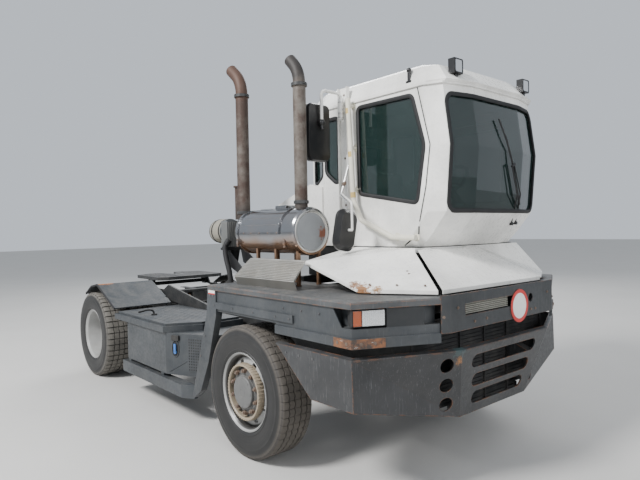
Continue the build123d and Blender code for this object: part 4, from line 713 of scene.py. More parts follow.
def on_front(y, z, lift):
    """A point of the cab's front skin."""
    from_side = min(y - CAB_RIGHT, CAB_LEFT - y)
    ease = min(max((from_side - 0.060) / 0.270, 0.0), 1.0)
    return at(FRONT_FACE + stand(z) + DRAWN_IN * ease + lift, y, z)


def on_rear(y, z, lift):
    """A point of the cab's rear skin."""
    return at(CAB_REAR - lift, y, z)


def on_side(side):
    """Points of the cab's side skin, on the right (-1) or the left (1)."""
    def place(x, z, lift):
        edge = FRONT_AXLE + SIDE_END + stand(z)
        inward = 0.0
        if x < CAB_CORNER:
            inward = 0.130 * (CAB_CORNER - x) / 0.300
        if x > edge:
            inward = DRAWN_IN * (x - edge) / 0.130
        return Vector((x, (CAB_RIGHT if side < 0 else CAB_LEFT) + side * (lift - inward), z))
    return place


def from_axle(outline):
    return [(FRONT_AXLE + x, z) for x, z in outline]


WINDSCREEN = [(-0.180, 1.850), (0.920, 1.850), (0.962, 1.895), (0.962, 2.655), (0.920, 2.705),
              (-0.180, 2.705), (-0.222, 2.655), (-0.222, 1.895)]
SIDE_WINDOW = from_axle([(0.335, 2.018), (0.942, 1.915), (1.015, 2.341), (0.905, 2.725), (0.325, 2.732)])
QUARTERS = (
    from_axle([(-0.075, 2.225), (0.045, 2.135), (0.095, 2.135), (0.095, 2.690), (-0.075, 2.690)]),
    from_axle([(-0.340, 2.150), (-0.265, 2.150), (-0.125, 2.205), (-0.125, 2.690), (-0.340, 2.690)]),
)
LEFT_DOOR_WINDOW = from_axle(square(0.330, 0.865, 1.950, 2.615))
REAR_WINDOW = square(0.225, 0.735, 1.950, 2.565)
SEAM = from_axle([(0.812, 1.600), (0.937, 1.690), (1.022, 2.034), (1.065, 2.335), (0.957, 2.766)])
WINDOW_CORNER = 0.045
DOOR_CORNER = 0.030


def make_window_seals():
    Shape().bead(WINDSCREEN, on_front, WINDOW_CORNER).done("windscreen_seal", "dark_plastic", "rubber", "cab")
    seals = Shape().bead(SIDE_WINDOW, on_side(-1), WINDOW_CORNER)
    for side in (-1, 1):
        for outline in QUARTERS:
            seals.bead(outline, on_side(side), WINDOW_CORNER)
    seals.done("side_window_seals", "dark_plastic", "rubber", "cab")
    seam = divided(SEAM, SKIN_STEP, closed=False)
    Shape().strip(seam, on_side(-1), 0.0045, -0.004, 0.0012).done("panel_seam", "dark_plastic", "rubber", "cab")
    for door, outline, place in (("left_door", LEFT_DOOR_WINDOW, on_side(1)),
                                 ("rear_door", REAR_WINDOW, on_rear)):
        Shape().bead(outline, place, DOOR_CORNER).done(door + "_seal", "dark_plastic", "rubber", door)


# Wheels and tyres
WHEEL_Y = 1.107
TWIN_STEP = 0.330
TYRE_RADIUS = 0.505
SIDEWALL = [
    # (distance from the tyre's middle, radius) of half a tyre, bead to shoulder
    (0.115, 0.292), (0.115, 0.300), (0.130, 0.300), (0.1355, 0.312), (0.1405, 0.318), (0.1410, 0.326),
    (0.1385, 0.329), (0.1440, 0.360), (0.1478, 0.390), (0.1474, 0.415), (0.1460, 0.430), (0.1470, 0.433),
    (0.1465, 0.438), (0.1440, 0.442), (0.1430, 0.462), (0.1400, 0.478),
]
TREAD_FRONT = {
    "pitches": 54, "columns": (0.0, 0.22, 0.45, 0.5, 0.55, 0.78), "cuts": (3,),
    "grooves": (0.078, 0.028), "width": 0.009, "depth": 0.010, "zigzag": 0.005, "cut_depth": 0.006,
}
TREAD_REAR = {
    "pitches": 46, "columns": (0.0, 0.42, 0.80, 0.84, 0.96), "cuts": (3, 4),
    "grooves": (0.060, 0.0), "width": 0.010, "depth": 0.013, "zigzag": 0.004, "cut_depth": 0.013,
}


def tread_rows(tread):
    """Half a tread from the shoulder to the middle: (distance, radius, cut share, zigzag share)."""
    rows = [(0.1340, 0.492, 1.0, 0.0), (0.1270, 0.5005, 1.0, 0.0), (0.118, TYRE_RADIUS, 1.0, 0.0)]
    half, floor = tread["width"] / 2, TYRE_RADIUS - tread["depth"]
    for middle in tread["grooves"]:
        if middle:
            rows += [(middle + half + 0.001, TYRE_RADIUS, 1.0, 1.0), (middle + half * 0.6, floor, 0.0, 1.0),
                     (middle - half * 0.6, floor, 0.0, 1.0), (middle - half - 0.001, TYRE_RADIUS, 0.7, 1.0)]
        else:
            rows += [(half + 0.001, TYRE_RADIUS, 0.7, 1.0), (half * 0.6, floor, 0.0, 1.0)]
    return rows


def tyre(shape, x, y, tread):
    """One tyre with its sidewalls and tread, as a ring of rings."""
    half = [(a, r, 0.0, 0.0) for a, r in SIDEWALL] + tread_rows(tread)
    count = tread["pitches"]
    loops = []
    for along, radius, cut, zig in half + [(-a, r, cut, zig) for a, r, cut, zig in reversed(half)]:
        loop = []
        for pitch in range(count):
            for k, share in enumerate(tread["columns"]):
                angle = 2 * math.pi * (pitch + share) / count
                shift = tread["zigzag"] * zig * (abs(2 * share - 1) * 2 - 1)
                r = radius - (tread["cut_depth"] * cut if k in tread["cuts"] else 0.0)
                loop.append((x + r * math.cos(angle), y + along + shift, HUB_Z + r * math.sin(angle)))
        loops.append(loop)
    shape.rings(loops, close=True)


def make_tyres():
    for side, word in SIDES:
        shape = Shape()
        tyre(shape, FRONT_AXLE, side * WHEEL_Y, TREAD_FRONT)
        piece = shape.done("front_tyre_tread_" + word, "tyre", "tyre_front", "front_wheel_" + word, smooth=38)
        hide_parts("front_tyre_" + word)
        shape = Shape()
        for y in (WHEEL_Y, WHEEL_Y - TWIN_STEP):
            tyre(shape, REAR_AXLE, side * y, TREAD_REAR)
        piece = shape.done("rear_tyre_tread_" + word, "tyre", "tyre_rear", "rear_wheels_" + word, smooth=38)
        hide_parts("rear_tyres_" + word)


NUTS = 10
# Lathe profiles of the front hub, from the wheel's middle outward
NUT_RING = [(0.194, 0.086), (0.194, 0.136), (0.200, 0.1425), (0.210, 0.1405), (0.2145, 0.128), (0.2145, 0.082)]
HUB_CAP = [(0.0, 0.140), (0.0, 0.1470), (0.100, 0.1465), (0.119, 0.1440), (0.1230, 0.138), (0.1230, 0.116),
           (0.110, 0.116), (0.106, 0.138)]
HUB_CAP_RING = [(0.026, 0.1460), (0.028, 0.1478), (0.033, 0.1478), (0.035, 0.1460)]
RIM_LIP = [(0.2875, 0.100), (0.2875, 0.118), (0.2925, 0.126), (0.2985, 0.1345), (0.3005, 0.1330),
           (0.3005, 0.1260), (0.2960, 0.118)]


def make_wheel_details():
    for side, word in SIDES:
        out = Vector((0, side, 0))
        hub = at(0, side * WHEEL_Y, HUB_Z)
        body = "front_wheel_" + word
        # Nut ring with its teeth, over the disc's flat
        ring = Shape().lathe(NUT_RING, hub, out, 96)
        for ray in spokes(52):
            ring.rod(hub + ray * 0.2140 + out * 0.094, hub + ray * 0.2085 + out * 0.1405, 0.0062, 8)
        ring.done("nut_ring_" + word, "rim_grey", "rusty_ring", body)
        nuts = Shape()
        for ray in spokes(NUTS, 0.5):
            nuts.studs(hub + ray * 0.1600, out, (0.106, 0.118, 0.0210, 20), (0.116, 0.136, 0.0180, 6),
                       (0.134, 0.1465, 0.0100, 12))
        nuts.done("front_nuts_" + word, "rim_grey", "rusty_nuts", body, bevel=0.0012)
        cap = Shape().lathe(HUB_CAP, hub, out, 64).lathe(HUB_CAP_RING, hub, out, 40)
        for ray in spokes(8):
            cap.studs(hub + ray * 0.108, out, (0.1455, 0.1477, 0.0065, 12))
        cap.done("hub_cap_" + word, "rim_grey", "hub_cap", body)
        Shape().lathe(RIM_LIP, hub, out, 96).done("front_rim_lip_" + word, "rim_grey", "rim_grey", body)
        # Rear: nuts deep in the dish, bolts on the hub's end
        hub = at(-WHEELBASE, side * WHEEL_Y, HUB_Z)
        body = "rear_wheels_" + word
        nuts = Shape()
        for ray in spokes(NUTS, 0.5):
            nuts.studs(hub + ray * 0.136, out, (-0.150, -0.142, 0.019, 20), (-0.144, -0.122, 0.0165, 6),
                       (-0.124, -0.110, 0.0095, 12))
            nuts.bolt(hub + ray * 0.075 - out * 0.038, out * 0.8 + ray * 0.5, 0.011, 0.009)
        nuts.done("rear_nuts_" + word, "rim_grey", "rusty_nuts", body, bevel=0.0012)
        stem = [hub + Vector((x, side * y, z)) for x, y, z in ((0.20, -0.02, 0.13), (0.205, 0.03, 0.133),
                                                               (0.19, 0.075, 0.124))]
        Shape().tube(smoothed(stem), 0.005, 8).done("tyre_valve_" + word, "dark_plastic", "rubber", body)


# Front: the slanted corner edge of the deck, from the side to the nose
CORNER = (1.205, 1.250)
NOSE = (1.490, 0.655)
WING_OUT = (0.902, 0.432)
LAMP_INSET = 0.014
NOSE_BOLTS = [(-0.396, 1.115), (-0.255, 1.118), (0.396, 1.115), (0.330, 1.115), (-0.58, 1.222), (0.58, 1.222)]
# Steps of the screen behind the bumper: (half width, bottom, top)
SCREEN_STEPS = [(0.440, 0.458, 0.520), (0.620, 0.520, 0.740), (0.820, 0.740, 1.125)]
SCREEN_PITCH = 0.027
MESH_PITCH = 0.014


def wing_point(half_width, side, inset, z):
    """A point of the corner edge at a distance from the middle, drawn in by an inset."""
    share = (CORNER[1] - half_width) / (CORNER[1] - NOSE[1])
    x = CORNER[0] + share * (NOSE[0] - CORNER[0]) - inset * WING_OUT[0]
    return at(x, side * (half_width - inset * WING_OUT[1]), z)


def wing_out(side):
    return Vector((WING_OUT[0], side * WING_OUT[1], 0))


def make_sign():
    for name, look, inner, outer, high in (("sign_disc", "sign_white", 0.0, 0.094, 0.0012),
                                           ("sign_ring", "sign_red", 0.092, 0.1185, 0.0022)):
        disc = Shape().lathe(washer(inner, outer, 0.0, high), at(1.494, 0.162, 1.158), AHEAD, 64)
        disc.done(name, "black_paint", look)


def make_nose():
    fins = Shape()
    for k in range(6):
        z = 1.171 + 0.0125 * k
        fins.plate([at(1.478, -0.495, z), at(1.466, -0.495, z + 0.004), at(1.466, 0.030, z + 0.004),
                    at(1.478, 0.030, z)], UP * 0.0045)
    for y in (-0.33, -0.15):
        fins.blocks((1.462, 1.4675, y - 0.004, y + 0.004, 1.167, 1.238))
    fins.done("nose_fins", "black_paint", "fin_cream")
    # Dark block behind the nose: painted shade seen through its slots and fins
    Shape().blocks((1.440, 1.446, -0.498, 0.198, 1.100, 1.239)).done("nose_backing", "black_paint", "black_and_shade")
    bolts = Shape()
    for y, z in NOSE_BOLTS:
        bolts.bolt(at(NOSE[0], y, z), AHEAD, 0.011, 0.006)
    for side, word in SIDES:
        bolts.bolt(wing_point(0.700, side, 0.0, 1.173), wing_out(side), 0.011, 0.006)
        for half_width in (1.195, 1.115):
            bolts.bolt(wing_point(half_width, side, -0.0025, 1.045), wing_out(side), 0.012, 0.007)
        for x in (1.085, 1.165):
            bolts.bolt(at(x, side * 1.2520, 1.045), (0, side, 0), 0.012, 0.003)
        # Corner plate, bent round the deck's corner
        outline = []
        for inset, order in ((-0.0025, 1), (0.0, -1)):
            line = [at(1.050, side * (CORNER[1] - inset), 1.016), wing_point(CORNER[1], side, inset, 1.016),
                    wing_point(1.053, side, inset, 1.016)]
            line[1].y = line[0].y
            outline += line[::order]
        Shape().plate(outline, UP * 0.058).done("corner_plate_" + word, "black_paint", "rust_plate")
    bolts.done("front_bolts", "black_paint", "rusty_nuts")
    # Dark slatted screen across the front of the rails, behind the bumper's slots: a black grille, its darkness
    # also painted shade seen through the slots
    screen = Shape()
    for half_width, z0, z1 in SCREEN_STEPS:
        screen.blocks((1.2905, 1.2945, -half_width, half_width, z0, z1))
        for k in range(int((z1 - z0) / SCREEN_PITCH)):
            z = z0 + 0.014 + SCREEN_PITCH * k
            screen.blocks((1.2940, 1.3005, -half_width, half_width, z, z + 0.004))
        for y in (-half_width + 0.004, -0.300, 0.0, 0.300, half_width - 0.004):
            screen.blocks((1.2940, 1.3065, y - 0.004, y + 0.004, z0, z1))
    screen.done("front_screen", "black_paint", "black_and_shade")
    # Mesh under the flap, over a dark floor of painted shade that leaves room for the cab's tilt arms
    floor = Shape()
    for y0, y1 in ((-0.625, -0.236), (-0.164, 0.164), (0.236, 0.625)):
        floor.blocks((1.375, 1.4795, y0, y1, 1.2949, 1.2958))
    floor.done("mesh_floor", "black_paint", "black_and_shade")
    mesh = Shape()
    for y0, y1 in ((-0.620, -0.250), (-0.150, 0.150), (0.250, 0.620)):
        for k in range(4):
            x = 1.424 + 0.017 * k
            mesh.blocks((x - 0.0012, x + 0.0012, y0, y1, 1.2962, 1.2990))
        count = int((y1 - y0) / MESH_PITCH)
        for k in range(count + 1):
            y = y0 + (y1 - y0) * k / count
            mesh.blocks((1.420, 1.4795, y - 0.0010, y + 0.0010, 1.2964, 1.2986))
    mesh.done("front_mesh", "black_paint", "black_and_shade")


LAMP_PARTS = [
    # (name, slot, look, plates), a plate as (from, to, bottom, top, lift from, lift to)
    ("lamp_frame", "lamp", "dark_plastic",
     [(1.238, 1.050, z, z + 0.0038, -0.002, 0.0045) for z in (1.1462, 1.2420)]
     + [(y, y - 0.004, 1.1462, 1.2458, -0.002, 0.0045) for y in (1.238, 1.186, 1.052)]),
    ("amber_lens", "lamp", "amber_lens",
     [(1.234, 1.186, 1.150, 1.242, 0.0, 0.0030)]
     + [(1.231 - 0.0066 * k, 1.228 - 0.0066 * k, 1.151, 1.241, 0.0030, 0.0045) for k in range(7)]),
    ("dark_panel", "black_paint", "dark_panel", [(1.0385, 0.8165, 1.1345, 1.2495, 0.0003, 0.0012)]),
    ("lamp_reflector", "lamp", "reflector",
     [(1.180, 1.052, 1.150, 1.242, 0.0, 0.0010), (1.160, 1.088, 1.162, 1.231, 0.0010, 0.0024)]),
    ("clear_lens", "lamp", "clear_lens",
     [(1.182, 1.052, 1.150, 1.242, 0.0032, 0.0048)]
     + [(1.166 - 0.0125 * k, 1.1632 - 0.0125 * k, 1.152, 1.240, 0.0048, 0.0058) for k in range(9)]),
]
TAIL_LENS = [(0.0, -0.002), (0.0, 0.0005), (0.039, 0.0005), (0.0405, 0.0), (0.0405, -0.002)]


def make_lamps():
    for side, word in SIDES:
        for name, slot, look, plates in LAMP_PARTS:
            shape = Shape()
            for from_y, to_y, z0, z1, out0, out1 in plates:
                a, b = (wing_point(y, side, LAMP_INSET - out0, z0) for y in (from_y, to_y))
                high = UP * (z1 - z0)
                shape.plate([a, b, b + high, a + high], wing_out(side) * (out1 - out0))
            shape.done(name + "_" + word, slot, look)
        for k, look in enumerate(("red_lens", "amber_lens", "clear_red")):
            centre = at(-WHEELBASE - 0.820, side * (0.480 + 0.125 * k), 0.830)
            Shape().lathe(TAIL_LENS, centre, -AHEAD, 40).done("tail_lens_%d_%s" % (k, word), "lamp", look)


# Cab
RAIL_Y = -0.352


def make_cab_details():
    marks = Shape()
    for z, x in ((2.702, 0.286), (2.345, 0.3055), (2.011, 0.3250)):
        marks.rod(at(x - 0.0012, RAIL_Y, z + 0.022), at(x + 0.0012, RAIL_Y, z - 0.022), 0.0222, 28)
    marks.done("rail_notches", "cream_paint", "yellowed", "cab")
    feet = Shape()
    for x, z in ((0.285, 2.750), (0.303, 2.400), (0.320, 2.060), (0.745, 1.667), (0.930, 1.661)):
        feet.rod(at(x, CAB_RIGHT - 0.0005, z), at(x, CAB_RIGHT - 0.0055, z), 0.030, 24)
        for up in (-0.020, 0.020):
            feet.bolt(at(x, CAB_RIGHT - 0.0055, z + up), (0, -1, 0), 0.0065, 0.004)
    feet.done("rail_feet", "cream_paint", "cream_paint", "cab")
    # Wipers: two arms to one upright blade
    wiper = Shape()
    for (y0, z0), (y1, z1) in (((0.724, 1.758), (0.500, 2.215)), ((0.660, 1.752), (0.470, 2.205))):
        middle = on_front((y0 + y1) / 2, (z0 + z1) / 2, 0.030)
        wiper.tube([on_front(y0, z0, 0.010), middle, on_front(y1, z1, 0.024)], 0.0055, 8)
        wiper.rod(on_front(y0, z0, -0.002), on_front(y0, z0, 0.022), 0.014, 18)
    wiper.rod(on_front(0.470, 2.200, 0.022), on_front(0.505, 2.222, 0.022), 0.010, 12)
    blade = [on_front(0.640 - 0.30 * t, 1.905 + 0.66 * t, 0.012) for t in (0, 0.25, 0.5, 0.75, 1.0)]
    wiper.tube(blade, 0.0075, 8)
    wiper.done("wiper", "dark_plastic", "dark_plastic", "cab")
    # Dark joint between the cab's base and its skirt
    joint = Shape().blocks((0.250, 0.900, CAB_RIGHT - 0.0065, CAB_RIGHT + 0.010, 1.5842, 1.5895))
    joint.done("base_joint", "dark_plastic", "rubber", "cab")
    bolts = Shape()
    for share in (0.12, 0.5, 0.88):
        spot = at(0.926, -0.878, 1.358).lerp(at(1.346, -0.633, 1.358), share)
        bolts.bolt(spot, (0.35, -0.5, 0.8), 0.008, 0.004)
    for x, y, z in ((1.115, -0.606, 1.4225), (1.085, -0.588, 1.4385)):
        bolts.rod(at(x, y, z - 0.004), at(x, y, z + 0.003), 0.0075, 14)
    bolts.done("skirt_bolts", "white_paint", "rusty_nuts", "cab")
    # Doors: recessed pull and lever
    Shape().blocks(
        (0.300, 0.322, 1.0300, 1.0342, 1.700, 1.830), (0.304, 0.318, 1.0342, 1.0500, 1.712, 1.728),
        (0.304, 0.318, 1.0342, 1.0500, 1.802, 1.818), (0.304, 0.318, 1.0450, 1.0520, 1.712, 1.818),
    ).done("left_door_pull", "dark_plastic", "dark_plastic", "left_door", bevel=0.002)
    Shape().blocks(
        (-0.4042, -0.400, 0.182, 0.212, 1.720, 1.860), (-0.426, -0.404, 0.190, 0.204, 1.735, 1.750),
        (-0.426, -0.404, 0.190, 0.204, 1.830, 1.845), (-0.432, -0.422, 0.188, 0.206, 1.735, 1.845),
    ).done("rear_door_pull", "dark_plastic", "dark_plastic", "rear_door", bevel=0.002)
    # Work lamps: bezel and glass
    for y in (CAB_RIGHT + 0.185, CAB_LEFT - 0.185):
        outline = rounded(square(y - 0.050, y + 0.050, 2.852, 2.956), 0.018)
        inner = rounded(square(y - 0.042, y + 0.042, 2.860, 2.948), 0.014)
        bezel = Shape().stack(at, (1.188, outline), (1.1945, outline), (1.1945, inner), (1.189, inner),
                              close=True)
        bezel.done("work_lamp_bezel_%d" % (y > 0), "dark_plastic", "dark_plastic", "cab")
        glass = Shape().stack(at, (1.1903, inner), (1.1920, inner))
        glass.done("work_lamp_glass_%d" % (y > 0), "lamp", "reflector", "cab")


MIRROR_FACE = 0.110
ARM_PATH = [(0.256, -0.330, 2.262), (0.2610, -0.420, 2.030), (0.300, -0.460, 2.005), (0.500, -0.586, 1.944)]


def make_mirror_details():
    for side, word in SIDES:
        # The head's middle and half width, and the cab's edge
        middle, half, edge = (-0.560, 0.120, CAB_RIGHT) if side < 0 else (1.161, 0.089, CAB_LEFT)
        glass = Shape()
        for z0, z1 in ((2.306, 2.612), (2.620, 2.744)):
            outline = rounded(square(middle - half + 0.012, middle + half - 0.012, z0, z1), 0.030)
            glass.stack(at, (MIRROR_FACE - 0.0028, outline), (MIRROR_FACE + 0.001, outline))
        glass.done("mirror_glass_" + word, "chrome", "mirror_glass", "cab")
        outline = grown(square(middle - half + 0.0005, middle + half - 0.0005, 2.6135, 2.6185), 0.0022)
        step = Shape().stack(at, (MIRROR_FACE + 0.004, outline), (MIRROR_FACE + 0.040, outline))
        step.done("mirror_step_" + word, "dark_plastic", "rubber", "cab")
        clamp = Shape()
        for z in (2.665, 2.700, 2.790):
            clamp.lathe(band(0.0235, 0.0270, 0.0, 0.006), at(0.190, edge + side * 0.055, z), UP, 28)
        clamp.bolt(at(0.214, edge + side * 0.055, 2.730), AHEAD, 0.010, 0.010)
        clamp.bolt(at(0.190, middle, 2.575), (0.3, 0, -1), 0.012, 0.028)
        clamp.done("mirror_clamp_" + word, "chrome", "silver_bolt", "cab")
        foot = Shape()
        for z in (1.935, 1.985, 2.330, 2.860):
            foot.bolt(at(0.180, edge + side * 0.0068, z), (0, side, 0), 0.010, 0.006)
        foot.done("mirror_post_bolts_" + word, "white_paint", "rusty_nuts", "cab")
    middle = at(0.190, -0.560, 2.600)
    ball = Shape().ball(middle, 0.0290, 24).rod(middle, at(0.190, -0.560, 2.548), 0.0150, 18)
    ball.done("mirror_ball", "dark_plastic", "dark_plastic", "cab")
    arm = Shape().tube(smoothed([at(*point) for point in ARM_PATH]), 0.0098, 14)
    arm.done("chrome_arm", "chrome", "silver_bolt", "cab")
    clamp = Shape().rod(at(0.240, -0.384, 2.110), at(0.278, -0.394, 2.104), 0.011, 14)
    clamp.rod(at(0.256, -0.376, 2.122), at(0.258, -0.402, 2.088), 0.0135, 14)
    clamp.done("arm_clamp", "chrome", "rusty_nuts", "cab")


# Sections of a pad, closer towards its ends, and how far its edges roll in over a share of its width
PAD_SECTIONS = (0.0, 0.02, 0.06, 0.14, 0.30, 0.50, 0.70, 0.86, 0.94, 0.98, 1.0)
PAD_ROLL = 0.030
PAD_ROLL_SHARE = 0.10


def make_pad(name, outline, y0, y1, swell, corner):
    """A crowned pad with rolled edges, as sections across the seat."""
    loops = []
    for share in PAD_SECTIONS:
        shrink = PAD_ROLL * max(0.0, 1 - min(share, 1 - share) / PAD_ROLL_SHARE) ** 2
        section = rounded(grown(outline, swell * math.sin(math.pi * share) - shrink), corner)
        loops.append([at(x, y0 + (y1 - y0) * share, z) for x, z in section])
    piece = Shape().rings(loops).done(name, "seat_fabric", "seat_fabric", "cab", smooth=60)
    return piece


def make_seat():
    outline = [(-0.012, 1.748), (0.470, 1.748), (0.474, 1.830), (0.400, 1.852), (0.060, 1.846)]
    cushion = make_pad("seat_cushion", outline, 0.158, 0.642, 0.004, 0.035)
    outline = [(-0.006, 1.842), (0.070, 1.860), (0.046, 2.240), (-0.046, 2.240)]
    make_pad("seat_back", outline, 0.180, 0.620, 0.004, 0.030)
    outline = [(-0.050, 2.262), (0.044, 2.262), (0.040, 2.392), (-0.052, 2.392)]
    make_pad("head_rest", outline, 0.270, 0.530, 0.003, 0.028)
    base = Shape().blocks((0.060, 0.380, 0.230, 0.570, 1.700, 1.742), (0.090, 0.350, 0.290, 0.510, 1.352, 1.440))
    for k in range(7):
        z, fold = 1.440 + 0.036 * k, 0.006 * (k % 2)
        base.blocks((0.100 - fold, 0.340 + fold, 0.300 - fold, 0.500 + fold, z, z + 0.036))
    for y in (0.340, 0.460):
        base.rod(at(-0.004, y, 2.225), at(-0.004, y, 2.285), 0.007, 12)
    base.done("seat_base", "dark_plastic", "dark_plastic", "cab", bevel=0.003)
    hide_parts("driver_seat")


def make_dash():
    outline = [at(x, 0.230, z) for x, z in ((0.802, 1.850), (0.980, 1.818), (0.975, 1.870), (0.830, 1.930))]
    Shape().plate(outline, (0, 0.340, 0)).done("dash_hood", "dark_plastic", "dark_plastic", "cab", bevel=0.012)
    gauges, rims = Shape(), Shape()
    back = (-0.92, 0, 0.38)
    for y, radius in ((0.300, 0.040), (0.400, 0.050), (0.500, 0.040)):
        centre = at(0.8150, y, 1.888)
        gauges.lathe(washer(0.0, radius, 0.0, 0.004), centre, back, 32)
        edge = [(radius, 0.0), (radius, 0.008), (radius + 0.005, 0.006), (radius + 0.005, 0.0)]
        rims.lathe(edge, centre, back, 32)
    gauges.done("gauges", "dark_plastic", "black_and_shade", "cab")
    rims.done("gauge_rims", "chrome", "silver_bolt", "cab")


# Exhaust, from the drum's middle line
DRUM_Y = -0.750
DRUM_Z = 1.722
END_CAP = [(0.0, 0.2562), (0.0, 0.2580), (0.060, 0.2585), (0.148, 0.2590), (0.148, 0.2562)]
END_RIM = [(0.147, 0.2562), (0.147, 0.2600), (0.152, 0.2655), (0.162, 0.2672), (0.168, 0.2650), (0.170, 0.2580),
           (0.168, 0.2562)]
INTAKE_PATH = [(-0.800, -0.858, 1.640), (-0.820, -0.880, 1.590), (-0.800, -0.884, 1.490), (-0.760, -0.880, 1.380),
               (-0.745, -0.876, 1.300), (-0.738, -0.870, 1.220)]
# (along, height, radius) of the stacks' collars
COLLARS = [(0.142, 1.955, 0.0600), (0.142, 2.885, 0.0630), (-0.690, 2.955, 0.0675), (-0.690, 1.900, 0.0640)]


def make_exhaust_details():
    drum = at(0.0, DRUM_Y, DRUM_Z)
    bands, bolts = Shape(), Shape()
    for x in (-0.530, 0.140):
        bands.lathe(band(0.1885, 0.1905, x, 0.014), drum, AHEAD, 72)
        bands.blocks((x - 0.013, x + 0.013, DRUM_Y - 0.184, DRUM_Y - 0.162, DRUM_Z - 0.106, DRUM_Z - 0.070))
        bolts.studs(at(x, DRUM_Y - 0.176, DRUM_Z), UP, (-0.118, -0.058, 0.0055, 12), (-0.123, -0.113, 0.011, 6),
                    (-0.067, -0.057, 0.011, 6))
    for x in (-0.340, -0.080, 0.205):
        for y in (DRUM_Y - 0.118, DRUM_Y + 0.087):
            bands.blocks((x - 0.003, x + 0.029, y, y + 0.031, 1.2952, 1.303))
    bands.done("muffler_bands", "chrome", "chrome")
    for x in (-0.410, -0.300, -0.180, -0.060, 0.062):
        bolts.ball(at(x, DRUM_Y - 0.1915, DRUM_Z - 0.008), 0.0062, 12)
    bolts.done("muffler_bolts", "chrome", "rusty_nuts")
    # End cap facing forward, with its rolled edge
    Shape().lathe(END_CAP, drum, AHEAD, 72).done("muffler_end_cap", "chrome", "cap_grey")
    Shape().lathe(END_RIM, drum, AHEAD, 96).done("muffler_end_rim", "chrome", "silver_bolt")
    # Perforated sleeve block on the drum's top
    block = Shape().blocks((-0.130, 0.015, DRUM_Y - 0.060, DRUM_Y + 0.060, DRUM_Z + 0.185, DRUM_Z + 0.214))
    block.done("drum_block", "chrome", "chrome", bevel=0.003)
    # Dark discs for the block's holes: painted shade in them
    holes = Shape()
    for k in range(6):
        x = -0.115 + 0.023 * k
        for z in (DRUM_Z + 0.192, DRUM_Z + 0.204):
            holes.rod(at(x, DRUM_Y - 0.0598, z), at(x, DRUM_Y - 0.0606, z), 0.0042, 12)
    holes.done("drum_block_holes", "chrome", "black_and_shade")
    # Thick black pipe from the box to the deck
    pipe = Shape().tube(smoothed([at(*point) for point in INTAKE_PATH]), 0.024, 18)
    pipe.rod(at(-0.795, -0.852, 1.655), at(-0.812, -0.872, 1.612), 0.029, 18)
    pipe.done("intake_pipe", "dark_plastic", "rubber")
    ridges = Shape()
    for k in range(6):
        x = -0.912 + 0.018 * k
        ridges.blocks((x, x + 0.006, DRUM_Y - 0.1085, DRUM_Y - 0.1045, 1.592, 1.820))
    for k in range(10):
        y = DRUM_Y - 0.092 + 0.020 * k
        ridges.blocks((-0.9285, -0.9245, y, y + 0.007, 1.592, 1.615),
                      (-0.8155, -0.8115, y, y + 0.007, 1.592, 1.820))
    ridges.done("box_ridges", "beige_plastic", "box_grey")
    hoops = Shape()
    canister = at(0.0, DRUM_Y, 1.735)
    for x in (-1.085, -0.960):
        hoops.lathe(band(0.1140, 0.1170, x, 0.011), canister, AHEAD, 56)
    for x, radius in ((-1.135, 0.109), (-1.150, 0.1035)):
        wedge = [(radius - 0.004, x - 0.003), (radius + 0.0015, x), (radius - 0.004, x + 0.003)]
        hoops.lathe(wedge, canister, AHEAD, 56)
    hoops.done("canister_hoops", "beige_plastic", "rubber")
    collars = Shape()
    for x, z, radius in COLLARS:
        collars.lathe(band(radius - 0.006, radius + 0.0015, 0.0, 0.014), at(x, DRUM_Y, z), UP, 40)
        collars.bolt(at(x + radius + 0.004, DRUM_Y, z), AHEAD, 0.008, 0.012)
    collars.done("stack_collars", "rusty_pipe", "boom_steel")


# Rear and sides
RIVETS = [
    # (distance from the middle, size, height, places as (along, up))
    (1.2505, 0.009, 0.003, [(x, 1.1325) for x in (-0.400, -0.120, 0.160, 0.440, 0.600)]),
    (1.2365, 0.009, 0.006, [(x, 1.198) for x in (0.520, 0.719, 0.900)]),
    (1.2505, 0.010, 0.003, [(-0.560, 0.860), (-0.640, 0.680), (-0.455, 1.210), (-0.410, 1.210),
                            (0.560, 0.900), (0.700, 0.900), (0.840, 0.900)]),
]
# Slanted end of the box under the right platform
END_FROM = at(-1.371, -1.225, 0)
END_ALONG = (at(-0.870, -0.990, 0) - END_FROM).normalized()
END_OUT = Vector((END_ALONG.y, -END_ALONG.x, 0))
HOLE_PITCH = 0.0255
LEVER_PATH = [(-2.010, -1.050, 0.865), (-2.020, -1.060, 0.905), (-2.000, -1.120, 0.922), (-1.970, -1.200, 0.918),
              (-1.960, -1.240, 0.914)]
FENDER_LINE = [(0.735, 0.892), (0.190, 1.126), (-0.014, 1.094), (-0.220, 0.990)]
STRAP_OUTER = [(0.462, 0.4580), (0.5005, 0.4170), (1.1310, 0.4170), (1.2230, 0.5085), (1.2230, 0.8315),
               (1.1515, 0.9030), (0.462, 0.9030)]
STRAP_INNER = [(0.462, 0.4610), (0.5005, 0.4200), (1.1300, 0.4200), (1.2200, 0.5100), (1.2200, 0.8300),
               (1.1500, 0.9000), (0.462, 0.9000)]


def on_end(lift, along, z):
    return END_FROM + END_ALONG * along + END_OUT * lift + UP * z


def end_plate(outline, low, high):
    return Shape().stack(on_end, (low, outline), (high, outline))


